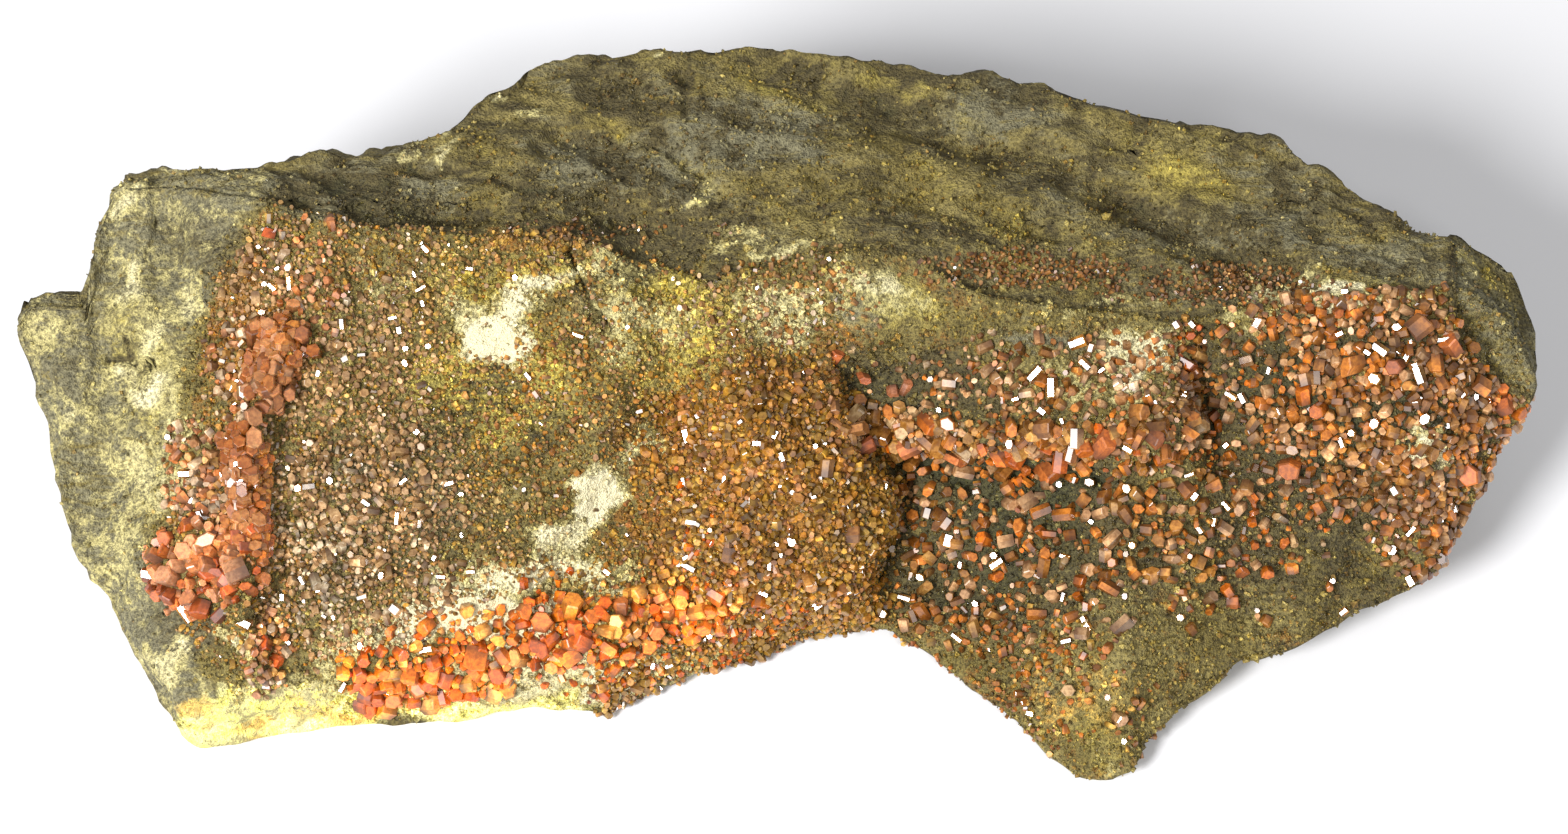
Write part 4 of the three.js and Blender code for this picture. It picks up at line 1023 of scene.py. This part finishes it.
# Places and radii [u, v, radius] of the largest crystals of a growth, by its name
LARGEST = {
    "crystals_lit": [
        (22.3, 21.6, 0.55), (14.6, 20.3, 0.45), (17.9, 14.1, 0.4), (29.1, 13.8, 0.35),
        (30.9, 15.8, 0.4), (40.6, 16.4, 0.4), (56.5, 16.7, 0.35), (35.8, 23.5, 0.4),
        (35.1, 29.4, 0.5), (31.5, 29.8, 0.5), (22.1, 32.1, 0.4), (25.7, 40.3, 0.45),
        (27.7, 39.4, 0.6), (29.6, 43.8, 0.5), (30.8, 41.2, 0.45), (45.5, 38.7, 0.4),
        (60.1, 40.3, 0.65), (60, 43.2, 0.5), (64.2, 40.4, 0.6), (66.1, 44, 0.4), (56.4, 34.1, 0.4),
        (57.5, 34.8, 0.4), (63.5, 24.8, 0.4), (28.9, 18.2, 0.35), (12.8, 18.2, 0.4),
        (-48.8, 49.6, 0.38), (-43.4, 45.8, 0.4), (-47.5, 29.3, 0.45), (-38.2, 26.1, 0.35),
        (-33.7, 20.5, 0.32), (-39.4, 20.5, 0.34), (-30.6, 20.7, 0.3), (-35.4, 12.8, 0.42),
        (-58.8, 16.7, 0.7), (-52.8, 15.7, 0.6), (-60.7, 34.5, 0.38), (-36.9, 41.8, 0.34),
        (-19.7, 44.5, 0.3), (-24.8, 40.7, 0.35), (-43, 9.7, 0.4), (-35.3, 53.1, 0.35),
        (-35.7, 49, 0.3), (-9.1, 21.5, 0.4),
    ],
    "crystals_red_cluster": [
        (-53.6, 20.8, 1.25), (-60.3, 20.2, 1.15), (-58.9, 22.6, 1.05), (-56.6, 21.4, 1),
        (-57.5, 17.4, 1), (-60.7, 24.3, 0.85), (-58.7, 25.6, 0.8), (-55.5, 23.5, 0.8),
        (-62.6, 22.6, 0.7), (-55.6, 18.4, 0.7),
    ],
    "crystals_red_vein": [
        (-52.4, 36.4, 1), (-52.6, 34, 1.15), (-53.6, 31.5, 0.6), (-53.2, 26, 0.6),
    ],
    "crystals_vein_head": [(-49, 43.8, 0.7), (-51, 41, 0.85), (-49.8, 38.8, 0.9)],
    "crystals_vein_fringe": [(-51.2, 13.4, 0.8), (-50.4, 11.8, 0.7), (-50.6, 54.7, 0.56)],
    "crystals_front_edge": [
        (-29.9, 12.8, 1.3), (-23.7, 15.5, 1.1), (-20.7, 16.8, 1.1), (-8.2, 16.8, 1), (-27, 9.2, 1),
        (-36, 9, 0.95), (-25.5, 12.5, 0.9), (-33, 10.5, 0.95), (-12, 15, 0.85), (-39, 7.3, 1),
        (-28, 11, 0.9), (-31, 9.8, 0.9), (-41, 9.5, 0.85), (-34.5, 12, 0.8),
    ],
    "crystals_right_end": [
        (64.1, 45.2, 1.25), (51.3, 31.5, 1.2), (57.8, 41.5, 1), (52.6, 38.2, 0.9),
        (54.3, 37.3, 0.8), (69.3, 30.5, 1.2), (67, 43.5, 1.05), (70, 39.5, 1), (72.5, 37.5, 0.95),
        (62, 41.5, 0.9), (65.6, 42, 0.9),
    ],
    "crystals_ledge": [
        (32.8, 33.6, 1.2), (30.6, 33.4, 0.9), (35, 33.4, 0.85), (26.6, 31.4, 1.1), (13.5, 33.5, 1),
        (10.5, 34.5, 1), (36, 36.8, 0.8), (8.2, 33, 0.9), (16.4, 33.8, 0.8), (19.4, 33.2, 0.75),
        (22.4, 33, 0.84), (24.4, 32.6, 0.84), (28.6, 32.4, 0.88), (37.8, 34, 0.84), (15, 36, 0.84),
        (17.4, 32.6, 0.84),
    ],
    "crystals_shelf": [
        (40.6, 41.5, 0.75), (40.2, 39.6, 0.85), (41.2, 38.2, 0.75), (39.4, 37.8, 0.7),
        (40.6, 36.4, 0.8), (41.6, 40.2, 0.65), (39.2, 40.8, 0.65), (11.4, 38.8, 0.62),
        (12.6, 39, 0.61), (8.4, 40.6, 0.62), (7.6, 38.6, 0.61), (5.8, 42.2, 0.61),
    ],
    "crystals_plate": [
        (21.8, 21.8, 1), (14.8, 20.3, 0.8), (28.4, 22, 0.9), (25.5, 28, 0.9), (42, 22, 0.8),
    ],
    "crystals_buttress": [
        (7.3, 24.6, 0.9), (-1.5, 18, 0.7), (-8.5, 20.5, 0.8), (5, 31, 0.7), (-5, 23, 0.65),
        (3, 20, 0.7), (-4, 16.5, 0.7), (0.5, 23, 0.65), (6, 19, 0.65), (-9, 25, 0.65), (2, 28, 0.6),
    ],
    "crystals_left_brown": [
        (-42, 22, 0.65), (-38, 17, 0.65), (-44.5, 27, 0.6), (-35, 30, 0.6), (-46, 20, 0.65),
    ],
}
FRINGE_PATCHES = [
    (-51, 12.5, 3, 5, 0.7), (-47, 50, 7, 8, 0.1), (-55.5, 29, 3.5, 8, 0.8),
    (-58.5, 30.5, 4, 6, 0.8), (-54, 40, 5, 7, 0.25),
]
TOP_PATCHES = [
    (24, 51, 13, 2.4, 1), (43, 49.5, 16, 2.6, 0.6), (-18, 54.5, 18, 1.6, 0.12), (2, 50, 9, 2, 0.25),
]


def growth(*row, **special):
    return row, special


# Each growth of crystals: its name and slot; its zone, as a function or as patches; how
# many are tried; the range of radii; how rare the large ones are; the colours; how far
# they lean and how closely they stand. Then what is special about it, such as the solid
# that it stands for.
GROWTHS = [
    growth(
        "crystals_lit", "brown_crystal", plate_zone, 10, (0.3, 0.45), 2, TAN[:2], 1.4, 0.8,
        glints=True,
    ),
    growth(
        "crystals_red_cluster", "red_crystal", [(-58, 21, 6.2, 5.8, 1), (-54.5, 21, 4, 5, 0.5)],
        460, (0.35, 0.9), 1.4, RED, 1.1, 0.6, solid="crystals_left_vein", deep=True,
        tall=(1.2, 0.5),
    ),
    growth(
        "crystals_red_vein", "red_crystal", vein_zone, 750, (0.38, 0.8), 1.3, WALL, 0.55, 0.4,
        deep=True, spread=0.12, upright=(0.12, -0.4, 0.9),
    ),
    growth(
        "crystals_vein_edge", "red_crystal", vein_edge_zone, 500, (0.3, 0.55), 1.5, AMBER, 0.3, 0.4,
        deep=True, upright=(0.3, -0.4, 0.87),
    ),
    growth(
        "crystals_vein_head", "red_crystal", [(-50.8, 40.3, 3.2, 4, 1), (-49.5, 44, 4, 4, 0.35)],
        460, (0.34, 0.85), 1.4, WALL + AMBER[1:2], 0.8, 0.43, deep=True, spread=0.14,
        upright=(0.1, -0.35, 0.93),
    ),
    growth(
        "crystals_vein_fringe", "red_crystal", FRINGE_PATCHES, 2200, (0.2, 0.55), 2.2,
        PINK + RED[3:] + TAN[:2], 1.4, 0.74, large_colours=tones((222, 104, 48)),
    ),
    growth(
        "crystals_front_edge", "orange_crystal", front_zone, 2000, (0.26, 0.9), 1.8,
        scaled(1.35, GLOWING), 1.3, 0.74, solid="crystals_front_edge", deep=True, tall=(1.2, 0.8),
        spread=0.16, large_colours=scaled(1.35, GLOWING[:3]),
    ),
    growth(
        "crystals_right_end", "brown_crystal", right_zone, 5200, (0.24, 0.66), 2.2,
        TAN + BROWN[:2] + RUSSET, 1.6, 0.76, solid="crystals_right_end", tall=(1.15, 0.8),
        large_colours=tones((192, 104, 26), (206, 128, 42), (176, 90, 18)),
    ),
    growth(
        "crystals_ledge", "orange_crystal", ledge_zone, 2100, (0.2, 0.8), 2,
        scaled(0.8, ORANGE[2:4] + TAN + ROSY[:2]), 1.3, 0.68, solid="crystals_ledge",
        large_colours=tones((188, 92, 18), (194, 104, 30), (186, 106, 48)),
    ),
    growth(
        "crystals_shelf", "brown_crystal", [(25, 39, 18, 7, 0.5), (39, 41, 5, 6, 0.8)], 900,
        (0.2, 0.6), 2, TAN + PINK, 1.4, 0.95, large_colours=tones((204, 116, 70), (222, 146, 106)),
    ),
    growth(
        "crystals_plate", "brown_crystal", plate_zone, 1500, (0.26, 0.75), 1.4,
        TAN + RUSSET[1:] + ROSY[:1], 1.5, 0.9, solid="crystals_plate",
    ),
    growth(
        "crystals_tip", "brown_crystal",
        [(27, 12, 9, 11, 1), (17, 17, 8, 7, 0.8), (35, 6, 4, 6, 0.5)], 420, (0.18, 0.42), 2,
        TAN[1:4] + GOLD[:2], 1.4, 1,
    ),
    growth(
        "crystals_buttress_orange", "orange_crystal", buttress_orange_zone, 1500, (0.17, 0.5), 2.8,
        ORANGE[1:4] + GOLD[:3] + TAN[:1], 1.4, 0.66,
    ),
    growth(
        "crystals_buttress", "brown_crystal", buttress_zone, 13000, (0.16, 0.52), 3.2, GOLD, 1.4,
        0.66, solid="crystals_buttress", large_colours=ORANGE[1:3] + TAN,
    ),
    growth(
        "crystals_upper_middle", "brown_crystal", [(-1, 46, 13, 10, 1)], 1000, (0.14, 0.38), 2.4,
        scaled(0.8, SANDY + TAN[:3]), 1.4, 1,
    ),
    growth(
        "crystals_left_brown", "brown_crystal", left_brown_zone, 6500, (0.15, 0.5), 3, ROSY, 1.45,
        0.85,
    ),
    growth(
        "crystals_left_face", "brown_crystal", left_face_zone, 11000, (0.12, 0.36), 3.2,
        SANDY[:4] + GOLD, 1.4, 0.85,
    ),
    growth(
        "crystals_top", "brown_crystal", TOP_PATCHES, 1300, (0.13, 0.25), 1.6, BROWN, 1.3, 0.9,
        face_only=False,
    ),
]


def palette(colours, points, spread):
    """A colour for each crystal: one of those given, which change from place to place."""
    place = 0.6 * random.random(len(points)) + 0.2 + 0.25 * layered(points / 7, 2, 30)
    chosen = np.array(colours)[np.clip(place * len(colours), 0, len(colours) - 1).astype(int)]
    change = spread * random.normal(size=len(points)) + 0.25 * layered(points / 6, 2, 31)
    return chosen * np.exp(change)[:, None]


def face_spots(places):
    """The points of the crystal face that are seen at these places, and their normals."""
    flat = [np.argmin((CELL_U - u) ** 2 + (CELL_V - v) ** 2 + 1e6 * ~CELL_FACE) for u, v, _ in places]
    i, j = np.unravel_index(flat, CELL_U.shape)
    return surface[i, j], NORMALS[i, j]


def chosen_spots(zone, tries, radii, rarity, closeness, large, face_only):
    """Places, normals and radii of a growth's crystals, the named large ones first.

    The number that are larger than r falls as r to the power of -rarity.
    """
    allowed = CELL_FACE if face_only else (CELL_ROW > FOOT_ROW) & (CELL_ROW < BACK_ROW - 1)
    cover = patches(CELL_U, CELL_V, zone) if isinstance(zone, list) else zone(CELL_U, CELL_V)
    points, normals, _ = spots(cover * (0.15 + 0.85 * CLUMPS) ** 1.4 * allowed, tries)
    low, high = radii
    share = random.random(tries) * (1 - (low / high) ** rarity)
    sizes = np.sort(low * (1 - share) ** (-1 / rarity))[::-1]
    if large:
        large_points, large_normals = face_spots(large)
        points = np.concatenate([large_points, points])
        normals = np.concatenate([large_normals, normals])
        sizes = np.concatenate([[radius for *_, radius in large], sizes])
    kept = np.array([crowd.admits(tuple(p), r, closeness) for p, r in zip(points, sizes)])
    return points[kept], normals[kept], sizes[kept]


def joined(parts):
    """Several sets of points, faces and attributes as one."""
    verts, faces, attributes, start = [], [], {}, 0
    for part_verts, part_faces, part_attributes in parts:
        verts.append(part_verts)
        faces += [f + start for f in part_faces]
        start += len(part_verts)
        for key, values in part_attributes:
            attributes.setdefault(key, []).append(values)
    return np.concatenate(verts), faces, [(key, np.concatenate(v)) for key, v in attributes.items()]


# Shares of the crystals that glint: of the middling ones in a loose or a deep growth, and
# of all others. END_SHARE of them turn their end to the light, and the others a side.
GLINT_SIZES = (0.24, 0.45)
LOOSE_SHARE, DEEP_SHARE, OTHER_SHARE, END_SHARE = 0.014, 0.004, 0.001, 0.2
LARGE = 0.8


def stances(points, normals, sizes, lean, glints, deep, upright):
    """Which crystals glint, the way that each one points and the way its first side looks."""
    count = len(sizes)
    mirror = mirror_directions(points)
    middling = (sizes > GLINT_SIZES[0]) & (sizes < GLINT_SIZES[1])
    share = np.where(middling, DEEP_SHARE if deep else LOOSE_SHARE, OTHER_SHARE)
    shining = (random.random(count) < share) | glints
    lying = unit(np.cross(mirror, random.normal(size=(count, 3))))
    lying = np.where(random.random((count, 1)) < END_SHARE, mirror, lying)
    stands = normals if upright is None else 0 * normals + unit(np.array(upright))
    axes = np.where(shining[:, None], lying, leaning(stands, lean))
    facing = (0.1 if upright else 1) * random.normal(size=(count, 3)) + [1 if upright else 0, 0, 0]
    side_on = shining & (np.abs((lying * mirror).sum(1)) < 0.5)
    return shining, axes, np.where(side_on[:, None], mirror, facing)


def grow(
    materials, name, slot, zone, tries, radii, rarity, colours, lean, closeness,
    solid=None, large_colours=None, face_only=True, deep=False, glints=False, upright=None,
    tall=(1.1, 1.5), spread=0.24,
):
    """One growth of crystals as a piece."""
    large = LARGEST.get(name, ())
    points, normals, sizes = chosen_spots(zone, tries, radii, rarity, closeness, large, face_only)
    count = len(sizes)
    shining, axes, facing = stances(points, normals, sizes, lean, glints, deep, upright)
    flat = 1 - np.abs((axes * normals).sum(1))
    ratios = tall[0] + tall[1] * random.random(count) ** 1.3 + 0.1 * shining + 0.9 * glints
    lengths = sizes * ratios
    root = points - axes * (0.4 * sizes + 0.35 * lengths * flat)[:, None]
    root += normals * ((0.35 + 0.25 * shining + 0.3 * glints) * sizes * flat)[:, None]
    lengths = lengths + 0.4 * sizes
    tints = palette(colours, points, spread)
    if large_colours:
        biggest = sizes > radii[1]
        tints[biggest] = palette(large_colours, points[biggest], 0.5 * spread)
    rough = 0.08 + 0.4 * random.random(count) ** 1.4 + 0.25 * (sizes > LARGE)
    dull = np.where(shining, SHINE, rough)
    parts = []
    for shape, group in ((PRISM, sizes > FINE), (SMALL_PRISM, sizes <= FINE)):
        chosen = [values[group] for values in (root, axes, facing, sizes, lengths, tints, dull)]
        parts.append(prisms(shape, *chosen))
    piece = mesh_object(name, *joined(parts), materials[2 if glints else deep])
    if solid:
        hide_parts(solid)
    return piece


# Sand: small rough grains of the rock, which the crystals stand among
GRAIN_SHADES = np.array(
    [(1.1, 1.08, 0.95), (1.5, 1.35, 0.85), (1.35, 1.02, 0.62), (0.65, 0.6, 0.45), (2.1, 2.05, 1.75)]
)
GRAIN_SHARES = [0.32, 0.22, 0.14, 0.18, 0.14]
GRAIN_SIDES = np.array(
    [(0, 1, 2), (1, 3, 2), (3, 4, 2), (4, 0, 2), (1, 0, 5), (3, 1, 5), (4, 3, 5), (0, 4, 5)]
)


def sand(name, density, count, low, high, material):
    points, normals, cells = spots(density, count)
    sizes = low + (high - low) * random.random(count) ** 2
    first = unit(random.normal(size=(count, 3)))
    second = unit(np.cross(first, random.normal(size=(count, 3))))
    arms = np.stack([first, second, np.cross(first, second)], 1)
    arms = arms * sizes[:, None, None] * (0.7 + 0.5 * random.random((count, 3, 1)))
    verts = points[:, None] + 0.1 * normals[:, None] + np.concatenate([arms, -arms], 1)
    faces = ((np.arange(count) * 6)[:, None, None] + GRAIN_SIDES).reshape(-1, 3)
    shade = GRAIN_SHADES[random.choice(len(GRAIN_SHADES), count, p=GRAIN_SHARES)]
    shade = shade * np.exp(0.25 * random.normal(size=(count, 1)).clip(-2, 2))
    plain = 0.5 * MASKS[cells][:, 1:2].clip(0, 1)
    shade = shade + plain * (shade.mean(1, keepdims=True) - shade)
    shade = shade ** (1 + plain)
    pale = MASKS[cells][:, :1].clip(0, 1)
    shade = shade + (1.05 - shade) * 0.85 * pale
    shade = np.repeat(np.concatenate([shade, np.ones((count, 1))], 1), 6, 0)
    dull = np.repeat(0.12 + 0.65 * random.random(count), 6)
    attributes = [("shade", shade), ("dull", dull)]
    for key, grid in (("masks", MASKS), ("hues", HUES)):
        attributes.append((key, np.repeat(grid[cells], 6, 0)))
    piece = mesh_object(name, kept_inside(verts).reshape(-1, 3), [faces], attributes, material)
    return piece


def face_sand(u, v):
    """Sand over the crystal face, thinner on the smooth nose and the bare slope."""
    nose, slope = oval(u, v, 11, 48, 7, 6), smooth((along(BARE_EDGE, v) + 1 - u) / 3)
    bare = smooth(nose + slope + oval(u, v, *GREY_SPOT))
    cuts = smooth(crack_lines(*wandering(u, v)))
    solid_cream = smooth((MASKS[CELLS][..., 0] - 1) / 1.2 + 0.9 * HUES[CELLS][..., 1])
    above = CELL_ROW - RIDGE_ROW
    allowed = (CELL_ROW > FOOT_ROW) & CELL_FACE | (above > 0) & (above < 3) & (u > -48)
    ends = smooth((HALF_LENGTH - 0.6 - np.abs(u)) / 0.6) * np.where(above > 0, 0.4 - 0.12 * above, 1)
    return allowed * ends * (1 - 0.96 * bare) * (1 - 0.9 * cuts) * (1 - 0.9 * solid_cream)


# Camera, light and floor
def make_camera():
    """The photograph's own view: 50 degrees above the table, square-on to the face."""
    camera = bpy.data.objects.new("camera", bpy.data.cameras.new("camera"))
    camera.data.lens = 85
    camera.data.sensor_width = 36
    columns = Matrix(((1, 0, 0), tuple(VIEW_UP), tuple(NORMAL))).transposed()
    camera.matrix_world = Matrix.Translation(EYE * MM) @ columns.to_4x4()
    bpy.context.scene.collection.objects.link(camera)
    bpy.context.scene.camera = camera


def area_light(name, place, target, size, energy):
    lamp = bpy.data.lights.new(name, "AREA")
    lamp.shape = "DISK"
    lamp.size = size
    lamp.energy = energy
    obj = bpy.data.objects.new(name, lamp)
    obj.location = place
    obj.rotation_euler = (Vector(target) - Vector(place)).to_track_quat("-Z", "Y").to_euler()
    bpy.context.scene.collection.objects.link(obj)


def make_studio():
    floor_material = Nodes("floor")
    floor_material.shade(Base_Color=(0.84, 0.84, 0.86, 1), Roughness=0.9)
    corners = np.array([(-900, -900, 0), (900, -900, 0), (900, 1200, 0), (-900, 1200, 0)], float)
    floor = mesh_object("floor", corners, [np.array([[0, 1, 2, 3]])], material=floor_material.material)
    world = bpy.data.worlds.new("world")
    world.use_nodes = True
    world.node_tree.nodes["Background"].inputs["Color"].default_value = (1, 1, 1, 1)
    world.node_tree.nodes["Background"].inputs["Strength"].default_value = 0.46
    bpy.context.scene.world = world
    area_light("key", KEY_PLACE, (0, 0, 0), 0.22, 8.2)
    area_light("glint", (0.06, -0.3, 0.33), (0, 0, 0.01), 0.055, 0.45)
    bpy.context.scene.view_settings.view_transform = "Standard"


SAND_SIZES, GRIT_SIZES = (0.1, 0.32), (0.25, 0.6)


def make_sand(material):
    """Sand on the face, coarser grit on its rough parts, and flecks on the top."""
    cover = face_sand(CELL_U, CELL_V)
    left_half = CELL_U < 0
    rough = oval(CELL_U, CELL_V, -4, 47, 18, 9) + 0.7 * oval(CELL_U, CELL_V, -28, 48, 18, 8) + 0.15
    rough = rough + 0.8 * strip(CELL_U, CELL_V, PALE_LINE, 3)
    on_top = (CELL_ROW > RIDGE_ROW + 1) & (CELL_ROW < BACK_ROW - 0.2)
    top_cover = on_top * (0.1 + 0.9 * CLUMPS) ** 2 * smooth((HALF_LENGTH - 1 - np.abs(CELL_U)) / 2)
    return [
        sand("sand_left", cover * left_half, 17500, *SAND_SIZES, material),
        sand("sand_right", cover * ~left_half, 15000, *SAND_SIZES, material),
        sand("grit", cover * rough * CLUMPS, 3600, *GRIT_SIZES, material),
        sand("flecks", top_cover, 3800, *SAND_SIZES, material),
    ]


rock_skin = rock_material()
crystal_skins = [
    crystal_material("crystal"),
    crystal_material("deep_crystal", scattering=0.3),
    crystal_material("lit_crystal", index=1.42),
]
pieces = [make_rock(rock_skin)]
pieces += [grow(crystal_skins, *row, **special) for row, special in GROWTHS]
pieces += make_sand(rock_skin)
for piece in pieces:
    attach(piece, "root")
make_camera()
make_studio()
